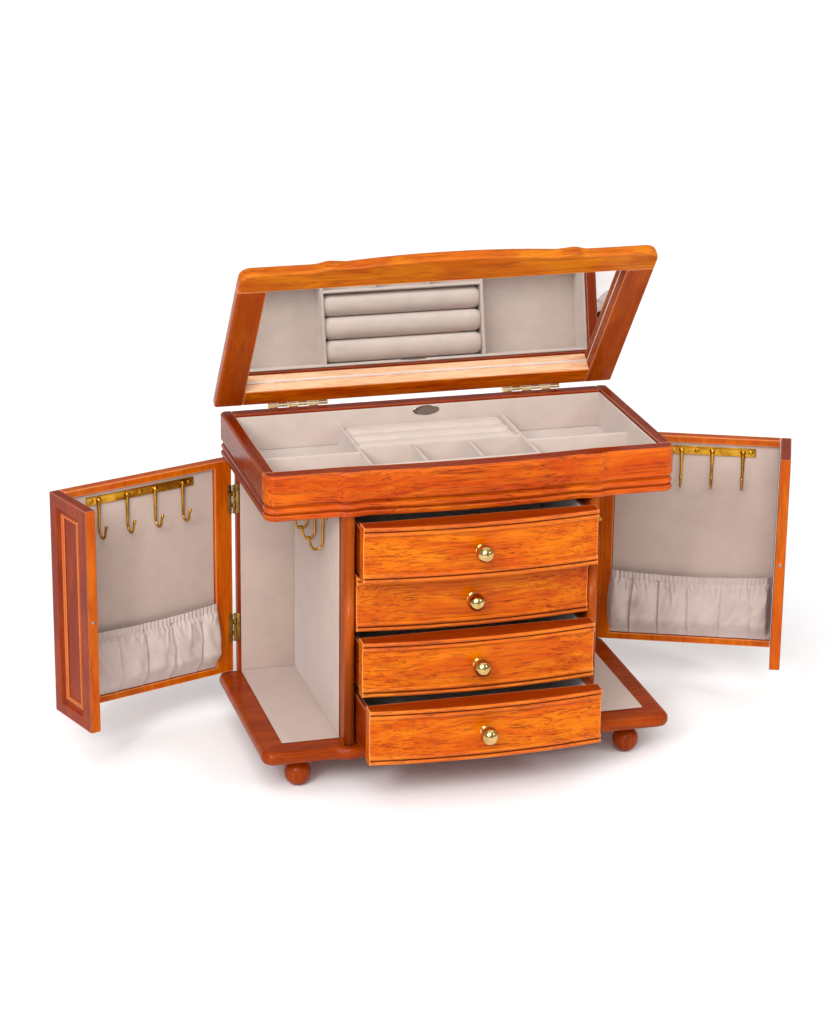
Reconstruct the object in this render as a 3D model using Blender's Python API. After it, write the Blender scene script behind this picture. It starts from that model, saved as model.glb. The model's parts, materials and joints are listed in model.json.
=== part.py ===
"""Wooden jewellery armoire on ball feet: lidded tray, two swing-out doors and four drawers.

Dimensions are in millimetres and become metres in new_object. The origin is the centre of the
underside of the base board, +X is the right side, +Y the back and +Z up. The lid stands open,
both doors are swung out and three of the four drawers are partly pulled out.
"""

import math

import bmesh
import bpy
from mathutils import Matrix, Vector

for old in list(bpy.data.objects):
    bpy.data.objects.remove(old, do_unlink=True)

MM = 0.001
GAP = 0.3

# Base and case
BASE_HALF_W = 194.5
BASE_FRONT = -103.5
BASE_BACK = 99.5
BASE_T = 13.0
FOOT_X = 158.0
FOOT_Y = 80.0
FOOT_H = 28.8
SOCKET_R = 7.6
SOCKET_DEPTH = 0.7
SIDE_OUT = 119.0
SIDE_IN = 109.3
SIDE_TIP = -102.0
CASE_TOP = 232.3
BACK_HALF_W = 177.0
BACK_Y0 = 94.0
BACK_Y1 = 99.5
LINING_T = 1.7
LINING_FRONT = -82.5
LINING_OUT = 173.0

# Tray
TRAY_HALF_W = 190.0
TRAY_FRONT = -99.0
TRAY_BACK = 99.0
TRAY_Z0 = 232.6
TRAY_Z1 = 274.8
TRAY_IN_X = 179.5
TRAY_IN_FRONT = -84.5
TRAY_IN_BACK = 86.0
INSERT_Z0 = 236.9
INSERT_FLOOR = 239.0
INSERT_DIVIDER = 259.3
INSERT_RIM = 272.3

# Lid
LID_OPEN = 51.7
LID_AXIS_Y = 103.0
LID_AXIS_Z = 276.0
LID_Z0 = 275.2
LID_T = 12.0
LID_HALF_W = 195.0
LID_FRONT = -102.3
LID_BACK = 98.6
LID_RAIL_Y = -78.4
LID_STILE_X = 168.5
LID_BACK_RAIL_Y = 78.3
LID_HINGE_X = 114.6
LID_HINGE_L = 58.0
MIRROR_RECESS = 9.6
MIRROR_T = 1.2
LID_PANEL_T = 2.0

# Doors
DOOR_OPEN = {"left": 70.5, "right": 67.5}
DOOR_AXIS_X = 178.8
DOOR_AXIS_Y = 93.0
DOOR_OUT = 190.0
DOOR_IN = 179.8
DOOR_Z0 = 15.0
DOOR_Z1 = 229.3
DOOR_FRONT = -95.4
DOOR_T = 10.0
DOOR_END = 91.2
DOOR_STILE_Y = 73.0
DOOR_RAIL = 6.8
DOOR_RECESS = 5.0
RETURN_EDGE = 122.0
DOOR_HINGE_Z = (60.0, 189.5)
DOOR_HINGE_L = 28.4

# Hook racks
RACK_L = 113.0
RACK_Z0 = 210.5
RACK_Z1 = 219.0
HOOK_PITCH = 29.5

# Drawers
DRAWER_HALF_W = 108.6
DRAWER_FRONT = -103.2
DRAWER_BOW = 8.5
DRAWER_PITCH = 54.75
DRAWER_H = 52.8
DRAWER_Z0 = 14.2
DRAWER_T = 14.0
DRAWER_BACK = 84.0
DRAWER_OUT = {1: 24.4, 2: 0.0, 3: 22.3, 4: 48.8}
KNOB_X = -2.5
KNOB_RISE = -0.3


def material(name, colour, roughness, metallic=0.0):
    made = bpy.data.materials.new(name)
    made.use_nodes = True
    shader = made.node_tree.nodes["Principled BSDF"]
    shader.inputs["Base Color"].default_value = (*colour, 1.0)
    shader.inputs["Roughness"].default_value = roughness
    shader.inputs["Metallic"].default_value = metallic
    made.diffuse_color = (*colour, 1.0)
    return made


OAK = material("oak_veneer", (0.55, 0.17, 0.02), 0.3)
DARK_OAK = material("dark_oak", (0.36, 0.09, 0.015), 0.3)
SUEDE = material("greige_suede", (0.62, 0.53, 0.48), 0.9)
SATIN = material("gathered_satin", (0.66, 0.57, 0.53), 0.7)
BRASS = material("brass", (0.75, 0.52, 0.18), 0.25, 1.0)
MIRROR = material("mirror", (0.9, 0.92, 0.92), 0.02, 1.0)


# ---------------------------------------------------------------- helpers


def new_object(name, points, faces, mat, parent=None):
    """A mesh object from points in millimetres, with its normals facing out."""
    mesh = bpy.data.meshes.new(name)
    mesh.from_pydata([Vector(p) * MM for p in points], [], faces)
    work = bmesh.new()
    work.from_mesh(mesh)
    bmesh.ops.recalc_face_normals(work, faces=work.faces)
    work.to_mesh(mesh)
    work.free()
    mesh.materials.append(mat)
    made = bpy.data.objects.new(name, mesh)
    bpy.context.scene.collection.objects.link(made)
    made.parent = parent
    return made


def axis_empty(name, location, rotation=(0.0, 0.0, 0.0)):
    """An empty on a joint's axis. Its children are modelled closed, about their closed place."""
    made = bpy.data.objects.new(name, None)
    bpy.context.scene.collection.objects.link(made)
    made.location = Vector(location) * MM
    made.rotation_euler = rotation
    return made


def on_axis(made, empty, axis):
    """Hangs an object, modelled in closed world coordinates, on an axis empty."""
    made.data.transform(Matrix.Translation(-Vector(axis) * MM))
    made.parent = empty
    return made


def bevel(made, width, segments=2, angle=40.0):
    modifier = made.modifiers.new("bevel", "BEVEL")
    modifier.width = width * MM
    modifier.segments = segments
    modifier.limit_method = "ANGLE"
    modifier.angle_limit = math.radians(angle)
    return made


def box_data(x0, x1, y0, y1, z0, z1):
    points = [(x, y, z) for z in (z0, z1) for x, y in ((x0, y0), (x1, y0), (x1, y1), (x0, y1))]
    faces = [(3, 2, 1, 0), (4, 5, 6, 7), (0, 1, 5, 4), (1, 2, 6, 5), (2, 3, 7, 6), (3, 0, 4, 7)]
    return points, faces


def box(name, x, y, z, mat, parent=None):
    points, faces = box_data(min(x), max(x), min(y), max(y), min(z), max(z))
    return new_object(name, points, faces, mat, parent)


def join_data(pieces):
    points, faces = [], []
    for more_points, more_faces in pieces:
        start = len(points)
        points.extend(more_points)
        faces.extend(tuple(i + start for i in face) for face in more_faces)
    return points, faces


def boolean(made, name, data, operation, axis=None):
    """Cuts from, or joins to, an object with a hidden cutter built from (points, faces)."""
    cutter = new_object(name, data[0], data[1], made.data.materials[0], made.parent)
    if axis is not None:
        cutter.data.transform(Matrix.Translation(-Vector(axis) * MM))
    cutter.hide_render = True
    cutter.display_type = "WIRE"
    modifier = made.modifiers.new(name, "BOOLEAN")
    modifier.operation = operation
    modifier.solver = "EXACT"
    modifier.object = cutter
    return made


def loft_data(rings):
    """Closed rings of equal length, joined by quads and closed by a face at each end."""
    count = len(rings[0])
    points = [p for ring in rings for p in ring]
    faces = [tuple(range(count)), tuple(range(len(points) - count, len(points)))]
    for level in range(len(rings) - 1):
        for i in range(count):
            j = (i + 1) % count
            a = level * count
            faces.append((a + i, a + j, a + count + j, a + count + i))
    return points, faces


def turned_data(profile, segments, centre, direction):
    """A turned shape: profile of (radius, distance along the direction)."""
    along = Vector(direction).normalized()
    across = along.orthogonal().normalized()
    third = along.cross(across)
    rings = []
    for radius, distance in profile:
        ring = []
        for i in range(segments):
            turn = 2 * math.pi * i / segments
            arm = across * math.cos(turn) + third * math.sin(turn)
            ring.append(tuple(Vector(centre) + along * distance + arm * radius))
        rings.append(ring)
    return loft_data(rings)


def wire_data(path, radius, segments=6):
    """A round wire along a path of points that lies in one plane."""
    path = [Vector(p) for p in path]
    normal = (path[1] - path[0]).cross(path[-1] - path[0]).normalized()
    rings = []
    for i, centre in enumerate(path):
        ahead = path[min(i + 1, len(path) - 1)] - path[max(i - 1, 0)]
        side = ahead.cross(normal).normalized()
        ring = []
        for k in range(segments):
            turn = 2 * math.pi * k / segments
            ring.append(tuple(centre + (side * math.cos(turn) + normal * math.sin(turn)) * radius))
        rings.append(ring)
    return loft_data(rings)


# ---------------------------------------------------------------- shared outlines


def swell(x):
    """How far the moulded front stands forward of its straight wings at this X."""
    x = abs(x)
    if x <= 97.0:
        return 7.5 - 5.5 * (x / 97.0) ** 2
    if x <= 114.0:
        return 2.9 - 0.9 * math.cos(math.pi * (x - 97.0) / 17.0)
    if x <= 128.0:
        return 1.9 + 1.9 * math.cos(math.pi * (x - 114.0) / 14.0)
    return 0.0


SWELL_X = (128, 124, 120, 117, 114, 111, 106, 101, 97, 84, 68, 50, 32, 14)


def front_path(half_w, y_end, y_front, radius):
    """Plan outline from the left end, round the two front corners, to the right end."""
    half = [(-half_w, y_end)]
    for i in range(5):
        turn = math.pi / 2 * i / 4
        half.append(
            (
                -half_w + radius - radius * math.cos(turn),
                y_front + radius - radius * math.sin(turn),
            )
        )
    half += [(-x, y_front - swell(x)) for x in SWELL_X]
    return half + [(-x, y) for x, y in reversed(half)]


def offset_path(path, amount, hold_ends=True):
    """Moves each point of an open path out along its normal (to the left of the ends' run)."""
    moved = []
    for i, (x, y) in enumerate(path):
        ax, ay = path[max(i - 1, 0)]
        bx, by = path[min(i + 1, len(path) - 1)]
        dx, dy = bx - ax, by - ay
        length = math.hypot(dx, dy)
        nx, ny = dy / length, -dx / length
        if hold_ends and i in (0, len(path) - 1):
            nx, ny = math.copysign(1.0, nx), 0.0
        moved.append((x + nx * amount, y + ny * amount))
    return moved


# Moulding on the lower edge of the tray: (height above the edge, offset of the face).
TRAY_PROFILE = (
    (0.0, -1.8),
    (1.0, -0.4),
    (3.0, 0.2),
    (5.0, -0.4),
    (6.1, -2.4),
    (7.1, -1.1),
    (9.4, -0.1),
    (11.6, -0.9),
    (12.8, -2.9),
    (14.2, -2.6),
    (15.4, -0.6),
    (17.0, 0.0),
    (40.6, 0.0),
    (42.2, -1.4),
)
LID_PROFILE = ((0.0, -1.8), (0.8, -0.5), (2.0, 0.0), (8.2, 0.0), (10.4, -1.1), (12.0, -3.6))
BASE_PROFILE = (
    (0.0, -4.6),
    (1.4, -1.8),
    (4.0, -0.2),
    (6.5, 0.0),
    (9.2, -0.3),
    (11.7, -1.9),
    (13.0, -4.6),
)
# Beads along the top and bottom edges of a drawer front: (distance from the edge, offset).
BEADS = (
    (0.0, -2.2),
    (0.6, -0.7),
    (1.9, 0.0),
    (3.5, -0.4),
    (4.4, -2.4),
    (5.3, -0.7),
    (6.9, 0.0),
    (8.6, -0.7),
    (9.6, -2.4),
)


# ---------------------------------------------------------------- base, feet and case


def make_base():
    outline = front_path(BASE_HALF_W, BASE_BACK - 5.0, BASE_FRONT, 11.0)
    back = [(BASE_HALF_W - 1.5, BASE_BACK - 1.5), (BASE_HALF_W - 5.0, BASE_BACK)]
    back += [(-x, y) for x, y in reversed(back)]
    rings = []
    for z, offset in BASE_PROFILE:
        ring = offset_path(outline, offset)
        scale = (BASE_HALF_W + offset) / BASE_HALF_W
        ring += [(x * scale, y + 0.4 * offset) for x, y in back]
        rings.append([(x, y, z) for x, y in ring])
    points, faces = loft_data(rings)
    board = new_object("base_board", points, faces, DARK_OAK)
    sockets = []
    for x in (-FOOT_X, FOOT_X):
        for y in (-FOOT_Y, FOOT_Y):
            bore = ((SOCKET_R, -SOCKET_DEPTH), (SOCKET_R, 5.0))
            sockets.append(turned_data(bore, 24, (x, y, 0.0), (0, 0, -1)))
    boolean(board, "cut_foot_sockets", join_data(sockets), "DIFFERENCE")


# Turned outline of a foot: (radius, distance below the base's underside).
FOOT_PROFILE = (
    (7.2, GAP - SOCKET_DEPTH),
    (7.2, 3.2),
    (6.2, 5.0),
    (8.4, 7.4),
    (11.2, 11.6),
    (12.2, 17.0),
    (10.6, 22.8),
    (6.6, 27.2),
    (3.6, FOOT_H),
)


def make_feet():
    for tag, sx, sy in (
        ("front_left", -1, -1),
        ("front_right", 1, -1),
        ("back_left", -1, 1),
        ("back_right", 1, 1),
    ):
        centre = (sx * FOOT_X, sy * FOOT_Y, 0.0)
        points, faces = turned_data(FOOT_PROFILE, 14, centre, (0, 0, -1))
        new_object("foot_" + tag, points, faces, DARK_OAK)


def make_case():
    bevel(
        box(
            "back_panel",
            (-BACK_HALF_W, BACK_HALF_W),
            (BACK_Y0, BACK_Y1),
            (BASE_T + GAP, CASE_TOP),
            DARK_OAK,
        ),
        0.6,
        1,
    )
    for tag, s in (("left", -1), ("right", 1)):
        mid = (SIDE_OUT + SIDE_IN) / 2
        r = (SIDE_OUT - SIDE_IN) / 2
        plan = [(SIDE_IN, BACK_Y0 - GAP), (SIDE_OUT, BACK_Y0 - GAP)]
        for i in range(9):
            turn = math.pi * i / 8
            plan.append((mid + r * math.cos(turn), SIDE_TIP + r - r * math.sin(turn)))
        rings = [[(s * x, y, z) for x, y in plan] for z in (BASE_T + GAP, CASE_TOP)]
        points, faces = loft_data(rings)
        new_object("case_side_" + tag, points, faces, OAK)
        outer = box_data(
            *sorted((s * LINING_OUT, s * (SIDE_OUT + GAP))),
            LINING_FRONT,
            BACK_Y0 - GAP,
            BASE_T + GAP,
            CASE_TOP - 0.4,
        )
        lining = new_object("compartment_lining_" + tag, outer[0], outer[1], SUEDE)
        hollow = box_data(
            *sorted((s * (LINING_OUT + 9), s * (SIDE_OUT + GAP + LINING_T))),
            LINING_FRONT - 9,
            BACK_Y0 - GAP - LINING_T,
            BASE_T + GAP + LINING_T,
            CASE_TOP + 9,
        )
        boolean(lining, "cut_lining_" + tag, hollow, "DIFFERENCE")
    shelves = box(
        "drawer_shelves",
        (-SIDE_IN + GAP, SIDE_IN - GAP),
        (-87.5, BACK_Y0 - GAP),
        (BASE_T + GAP, CASE_TOP - 0.4),
        DARK_OAK,
    )
    bays = []
    for k in range(4):
        low = BASE_T + DRAWER_PITCH * k + 1.9
        high = BASE_T + DRAWER_PITCH * (k + 1) - 0.9
        if k == 0:
            low = BASE_T - 9
        if k == 3:
            high = CASE_TOP + 9
        bays.append(box_data(-130, 130, -99, 88.5, low, high))
    points, faces = join_data(bays)
    boolean(shelves, "cut_drawer_bays", (points, faces), "DIFFERENCE")


# ---------------------------------------------------------------- tray


def make_tray():
    outer = front_path(TRAY_HALF_W, TRAY_IN_FRONT, TRAY_FRONT, 10.0)
    inner_x = (178, 150, 114, 95, 76, 57, 38, 19, 0)
    inner = [(x, TRAY_IN_FRONT - inner_swell(x)) for x in inner_x]
    inner += [(-x, y) for x, y in reversed(inner[:-1])]
    rings = []
    for height, offset in TRAY_PROFILE:
        ring = offset_path(outer, offset)
        ring += [(TRAY_IN_X, TRAY_IN_FRONT)] + inner + [(-TRAY_IN_X, TRAY_IN_FRONT)]
        rings.append([(x, y, TRAY_Z0 + height) for x, y in ring])
    points, faces = loft_data(rings)
    new_object("tray_front", points, faces, OAK)
    for tag, s in (("left", -1), ("right", 1)):
        section = [(TRAY_HALF_W + o, TRAY_Z0 + h) for h, o in TRAY_PROFILE]
        section += [(TRAY_IN_X, TRAY_Z1), (TRAY_IN_X, TRAY_Z0)]
        rings = []
        for y, pull in ((TRAY_IN_FRONT + GAP, 0.0), (TRAY_BACK - 2.5, 0.0), (TRAY_BACK, 2.5)):
            rings.append([(s * max(x - pull, TRAY_IN_X), y, z) for x, z in section])
        points, faces = loft_data(rings)
        new_object("tray_" + tag, points, faces, DARK_OAK)
    bevel(
        box(
            "tray_back",
            (-TRAY_IN_X + GAP, TRAY_IN_X - GAP),
            (TRAY_IN_BACK, TRAY_BACK),
            (TRAY_Z0, TRAY_Z1),
            OAK,
        ),
        0.8,
        1,
    )
    box(
        "tray_bottom",
        (-TRAY_IN_X + GAP, TRAY_IN_X - GAP),
        (TRAY_IN_FRONT + GAP, TRAY_IN_BACK - GAP),
        (TRAY_Z0 + 0.5, TRAY_Z0 + 4.0),
        SUEDE,
    )


def inner_swell(x):
    """How far the inside of the tray's front follows the bow."""
    return 5.0 * max(0.0, 1.0 - (x / 114.0) ** 2)


def insert_height(x, y):
    """Top of the fabric-lined insert above this point of the plan."""
    if abs(x) > 177.2 or y < -82.2 or y > 83.7:
        return INSERT_RIM
    if 77.5 < abs(x) < 80.5:
        return INSERT_DIVIDER
    if abs(x) > 80.5:
        return INSERT_DIVIDER if abs(y) < 1.5 else INSERT_FLOOR
    if 13.5 < y < 16.5 or -41.5 < y < -38.5:
        return INSERT_DIVIDER
    if 25.0 < abs(x) < 28.0 and y < 13.5:
        return INSERT_DIVIDER
    return INSERT_FLOOR


def make_insert():
    half = (25.0, 28.0, 52.0, 77.5, 80.5, 97.0, 114.0, 177.2, 179.2)
    xs = [-x for x in reversed(half)] + list(half)
    ys = [-84.2, -82.2, -41.5, -38.5, -1.5, 1.5, 13.5, 16.5, 83.7, 85.7]
    nx, ny = len(xs), len(ys)

    def top(i, j):
        if 0 <= i < nx - 1 and 0 <= j < ny - 1:
            return insert_height((xs[i] + xs[i + 1]) / 2, (ys[j] + ys[j + 1]) / 2)
        return INSERT_Z0

    levels = {}
    for i in range(nx):
        for j in range(ny):
            around = {top(i - 1, j - 1), top(i, j - 1), top(i - 1, j), top(i, j)}
            levels[i, j] = sorted(around | {INSERT_Z0})
    index, points, faces = {}, [], []

    def point(i, j, z):
        if (i, j, z) not in index:
            index[i, j, z] = len(points)
            pull = inner_swell(xs[i]) * min(1.0, max(0.0, (-40.0 - ys[j]) / 42.0))
            points.append((xs[i], ys[j] - pull, z))
        return index[i, j, z]

    def wall(a, b, low, high):
        up = [z for z in levels[a] if low <= z <= high]
        down = [z for z in reversed(levels[b]) if low <= z <= high]
        faces.append([point(*a, z) for z in up] + [point(*b, z) for z in down])

    for i in range(nx - 1):
        for j in range(ny - 1):
            corners = ((i, j), (i + 1, j), (i + 1, j + 1), (i, j + 1))
            faces.append([point(*c, top(i, j)) for c in corners])
            faces.append([point(*c, INSERT_Z0) for c in reversed(corners)])
    for i in range(nx):
        for j in range(ny - 1):
            if top(i - 1, j) != top(i, j):
                pair = sorted((top(i - 1, j), top(i, j)))
                wall((i, j), (i, j + 1), *pair)
    for i in range(nx - 1):
        for j in range(ny):
            if top(i, j - 1) != top(i, j):
                pair = sorted((top(i, j - 1), top(i, j)))
                wall((i, j), (i + 1, j), *pair)
    new_object("tray_insert", points, faces, SUEDE)


def make_ring_rolls():
    """Three padded rolls side by side on one pad, with the ring slots between them."""
    y0, y1 = 16.8, 83.4
    pitch = (y1 - y0) / 3
    section = [(y1, INSERT_FLOOR + GAP), (y0, INSERT_FLOOR + GAP)]
    for k in range(3):
        for i in range(7):
            turn = math.pi * (0.06 + 0.88 * i / 6)
            y = y0 + pitch * (k + 0.5) - pitch / 2 * math.cos(turn)
            section.append((y, 246.0 + 13.0 * math.sin(turn)))
    rings = []
    for x, drop in ((-77.2, 1.5), (-74.5, 0.0), (74.5, 0.0), (77.2, 1.5)):
        rings.append([(x, y, z - drop * (z > 245)) for y, z in section])
    points, faces = loft_data(rings)
    new_object("ring_rolls", points, faces, SUEDE)


# ---------------------------------------------------------------- hinges


def hinge_leaf(name, plate, tabs, barrels, empty, axis):
    """One leaf: a plate, the tabs that reach the barrel, and this leaf's knuckles."""
    leaf = new_object(name, plate[0], plate[1], BRASS)
    if empty is not None:
        on_axis(leaf, empty, axis)
    boolean(leaf, "tabs_" + name, join_data(tabs), "UNION", axis)
    boolean(leaf, "knuckles_" + name, join_data(barrels), "UNION", axis)


def moved(data, matrix):
    points, faces = data
    return [tuple(matrix @ Vector(p)) for p in points], faces


def make_door_hinge(side, s, tag, z, empty, axis):
    """A butt hinge whose leaves lie on the inner faces of the back panel and of the door."""
    step = DOOR_HINGE_L / 5
    for owner, mine, width in (("case", 0, 5.2), ("door", 1, 6.6)):
        if owner == "case":
            frame = Matrix(((-s, 0, 0), (0, 1, 0), (0, 0, 1)))
        else:
            frame = Matrix(((0, s, 0), (-1, 0, 0), (0, 0, 1)))
        place = Matrix.Translation((s * DOOR_AXIS_X, DOOR_AXIS_Y, z)) @ frame.to_4x4()
        half = DOOR_HINGE_L / 2
        plate = moved(box_data(2.1, width, -0.1, 0.7, -half, half), place)
        tabs, barrels = [], []
        for k in range(mine, 5, 2):
            low = -half + k * step + 0.15
            high = low + step - 0.3
            tabs.append(moved(box_data(0.6, 2.6, 0.0, 0.6, low + 0.1, high - 0.1), place))
            pin = turned_data(((1.5, 0.0), (1.5, high - low)), 10, (0, 0, low), (0, 0, 1))
            barrels.append(moved(pin, place))
        name = side + "_door_hinge_" + tag + "_" + owner
        if owner == "case":
            hinge_leaf(name, plate, tabs, barrels, None, None)
        else:
            hinge_leaf(name, plate, tabs, barrels, empty, axis)


def make_lid_hinge(tag, x, empty, axis):
    """A hinge behind the tray's back: each leaf lies on a back edge and reaches to the barrel."""
    step = LID_HINGE_L / 6
    for owner, mine, up in (("tray", 0, -1), ("lid", 1, 1)):
        y0 = (TRAY_BACK if owner == "tray" else LID_BACK) + GAP
        x0, x1 = x - LID_HINGE_L / 2, x + LID_HINGE_L / 2
        rise = sorted((LID_AXIS_Z + up * 2.6, LID_AXIS_Z + up * 10.5))
        plate = box_data(x0, x1, y0, y0 + 0.8, *rise)
        tabs, barrels = [], []
        for k in range(mine, 6, 2):
            low = x0 + k * step + 0.15
            high = low + step - 0.3
            rise = sorted((LID_AXIS_Z + up * 0.9, LID_AXIS_Z + up * 3.2))
            tabs.append(box_data(low + 0.1, high - 0.1, y0 + 0.2, LID_AXIS_Y, *rise))
            pin = ((2.0, 0.0), (2.0, high - low))
            barrels.append(turned_data(pin, 10, (low, LID_AXIS_Y, LID_AXIS_Z), (1, 0, 0)))
        name = "lid_hinge_" + tag + "_" + owner
        if owner == "tray":
            hinge_leaf(name, plate, tabs, barrels, None, None)
        else:
            hinge_leaf(name, plate, tabs, barrels, empty, axis)


# ---------------------------------------------------------------- hook racks


def make_rack(name, place, empty=None, axis=None):
    """A brass bar with four hooks: local X runs along it, Y away from the wall, Z up."""
    half = RACK_L / 2
    height = RACK_Z1 - RACK_Z0
    bar = moved(box_data(-half, half, 0.0, 1.4, -height, 0.0), place)
    rack = new_object(name, bar[0], bar[1], BRASS)
    if empty is not None:
        on_axis(rack, empty, axis)
    hooks = []
    for k in range(4):
        x = (k - 1.5) * HOOK_PITCH
        path = [(x, 2.1, -2.0), (x, 2.1, -30.0)]
        for i in range(1, 7):
            turn = math.pi * i / 6
            path.append((x, 2.1 + 5.0 * (1 - math.cos(turn)), -31.5 - 5.6 * math.sin(turn)))
        path.append((x, 13.6, -27.0))
        hooks.append(moved(wire_data(path, 1.15), place))
    boolean(rack, "hooks_" + name, join_data(hooks), "UNION", axis)


def make_wall_racks():
    for tag, s in (("left", -1), ("right", 1)):
        wall = s * (SIDE_OUT + GAP + LINING_T + GAP)
        frame = Matrix(((0, s, 0), (1, 0, 0), (0, 0, 1)))
        place = Matrix.Translation((wall, 11.0, RACK_Z1)) @ frame.to_4x4()
        make_rack("wall_rack_" + tag, place)


# ---------------------------------------------------------------- lid


def make_lid():
    axis = (0.0, LID_AXIS_Y, LID_AXIS_Z)
    empty = axis_empty("lid_axis", axis, (math.radians(-LID_OPEN), 0.0, 0.0))
    outer = front_path(LID_HALF_W, LID_RAIL_Y, LID_FRONT, 11.0)
    rings = []
    for height, offset in LID_PROFILE:
        ring = offset_path(outer, offset)
        rings.append([(x, y, LID_Z0 + height) for x, y in ring])
    points, faces = loft_data(rings)
    rail = new_object("lid_front_rail", points, faces, OAK)
    on_axis(rail, empty, axis)
    for tag, s in (("left", -1), ("right", 1)):
        section = [(LID_HALF_W + o, LID_Z0 + h) for h, o in LID_PROFILE]
        section += [(LID_STILE_X, LID_Z0 + LID_T), (LID_STILE_X, LID_Z0)]
        rings = [[(s * x, y, z) for x, z in section] for y in (LID_RAIL_Y + GAP, LID_BACK)]
        points, faces = loft_data(rings)
        stile = new_object("lid_stile_" + tag, points, faces, OAK)
        on_axis(stile, empty, axis)
    inside = (-LID_STILE_X + GAP, LID_STILE_X - GAP)
    back = box(
        "lid_back_rail", inside, (LID_BACK_RAIL_Y, LID_BACK), (LID_Z0, LID_Z0 + LID_T), OAK
    )
    on_axis(back, empty, axis)
    depth = (LID_RAIL_Y + GAP, LID_BACK_RAIL_Y - GAP)
    mirror_z0 = LID_Z0 + MIRROR_RECESS
    mirror = box("lid_mirror", inside, depth, (mirror_z0, mirror_z0 + MIRROR_T), MIRROR)
    on_axis(mirror, empty, axis)
    panel_z0 = mirror_z0 + MIRROR_T + GAP
    panel = box("lid_panel", inside, depth, (panel_z0, panel_z0 + LID_PANEL_T), OAK)
    on_axis(panel, empty, axis)
    for tag, s in (("left", -1), ("right", 1)):
        make_lid_hinge(tag, s * LID_HINGE_X, empty, axis)


# ---------------------------------------------------------------- doors


def make_door(side, s):
    axis = (s * DOOR_AXIS_X, DOOR_AXIS_Y, 0.0)
    swing = math.radians(DOOR_OPEN[side]) * s
    empty = axis_empty(side + "_door_axis", axis, (0.0, 0.0, swing))
    height = (DOOR_Z0, DOOR_Z1)
    shell = box(
        side + "_door_shell",
        (s * DOOR_OUT, s * DOOR_IN),
        (DOOR_FRONT + DOOR_T + GAP, DOOR_END),
        height,
        OAK,
    )
    on_axis(shell, empty, axis)
    floor_x = DOOR_IN + DOOR_RECESS
    recess = box_data(
        *sorted((s * floor_x, s * (DOOR_IN - 9))),
        DOOR_FRONT - 9,
        DOOR_STILE_Y,
        DOOR_Z0 + DOOR_RAIL,
        DOOR_Z1 - DOOR_RAIL,
    )
    boolean(shell, side + "_door_recess", recess, "DIFFERENCE", axis)
    front = box(
        side + "_door_return",
        (s * DOOR_OUT, s * RETURN_EDGE),
        (DOOR_FRONT, DOOR_FRONT + DOOR_T),
        height,
        OAK,
    )
    on_axis(front, empty, axis)
    rings = []
    for y, grow in ((DOOR_FRONT - 5.0, 8.0), (DOOR_FRONT + 1.2, 0.0), (DOOR_FRONT + 4.0, -4.0)):
        x0, x1 = DOOR_OUT - 13.0 + grow, RETURN_EDGE + 16.0 - grow
        z0, z1 = DOOR_Z0 + 12.0 - grow, DOOR_Z1 - 12.5 + grow
        rings.append([(s * x, y, z) for x, z in ((x0, z0), (x1, z0), (x1, z1), (x0, z1))])
    boolean(front, side + "_return_panel", loft_data(rings), "DIFFERENCE", axis)
    lining_y = (DOOR_FRONT + DOOR_T + 2 * GAP, DOOR_STILE_Y - GAP)
    lining_z = (DOOR_Z0 + DOOR_RAIL + GAP, DOOR_Z1 - DOOR_RAIL - GAP)
    lining_x = floor_x - GAP - 1.5
    lining = box(
        side + "_door_lining", (s * (floor_x - GAP), s * lining_x), lining_y, lining_z, SUEDE
    )
    on_axis(lining, empty, axis)
    make_pocket(side, s, lining_x - GAP, lining_y[0], lining_z[0] + 0.2, empty, axis)
    frame = Matrix(((0, -s, 0), (1, 0, 0), (0, 0, 1)))
    middle = DOOR_AXIS_Y - 98.5
    place = Matrix.Translation((s * (lining_x - GAP), middle, RACK_Z1)) @ frame.to_4x4()
    make_rack(side + "_door_rack", place, empty, axis)
    for tag, z in zip(("lower", "upper"), DOOR_HINGE_Z):
        make_door_hinge(side, s, tag, z, empty, axis)


def make_pocket(side, s, back_x, y_front, z0, empty, axis):
    """The gathered pocket: fuller below than at its hem, and open along the top."""
    y0, y1 = y_front + 0.5, DOOR_STILE_Y - GAP
    rings = []
    for rise, depth in ((0, 4.0), (8, 12.0), (34, 15.0), (60, 12.0), (67.5, 9.5)):
        ring = [(back_x, y0), (back_x, y1), (back_x - depth * 0.6, y1)]
        ring += [(back_x - depth, y1 - 8), (back_x - depth, y0 + 8), (back_x - depth * 0.6, y0)]
        rings.append([(s * x, y, z0 + rise) for x, y in ring])
    points, faces = loft_data(rings)
    pocket = new_object(side + "_door_pocket", points, faces, SATIN)
    on_axis(pocket, empty, axis)
    slot = []
    for rise, depth in ((3, 2.0), (9, 8.5), (34, 12.5), (60, 9.5), (75, 7.5)):
        far = back_x - 1.0 - depth
        ring = [(back_x - 1.0, y0 + 2), (back_x - 1.0, y1 - 2), (far, y1 - 9), (far, y0 + 9)]
        slot.append([(s * x, y, z0 + rise) for x, y in ring])
    boolean(pocket, side + "_pocket_mouth", loft_data(slot), "DIFFERENCE", axis)


# ---------------------------------------------------------------- drawers


KNOB_PROFILE = (
    (5.4, 0.3),
    (5.4, 1.4),
    (3.4, 2.4),
    (3.2, 4.4),
    (5.6, 5.6),
    (7.8, 8.6),
    (8.2, 11.8),
    (7.0, 15.6),
    (4.2, 18.4),
    (1.4, 19.4),
)


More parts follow.
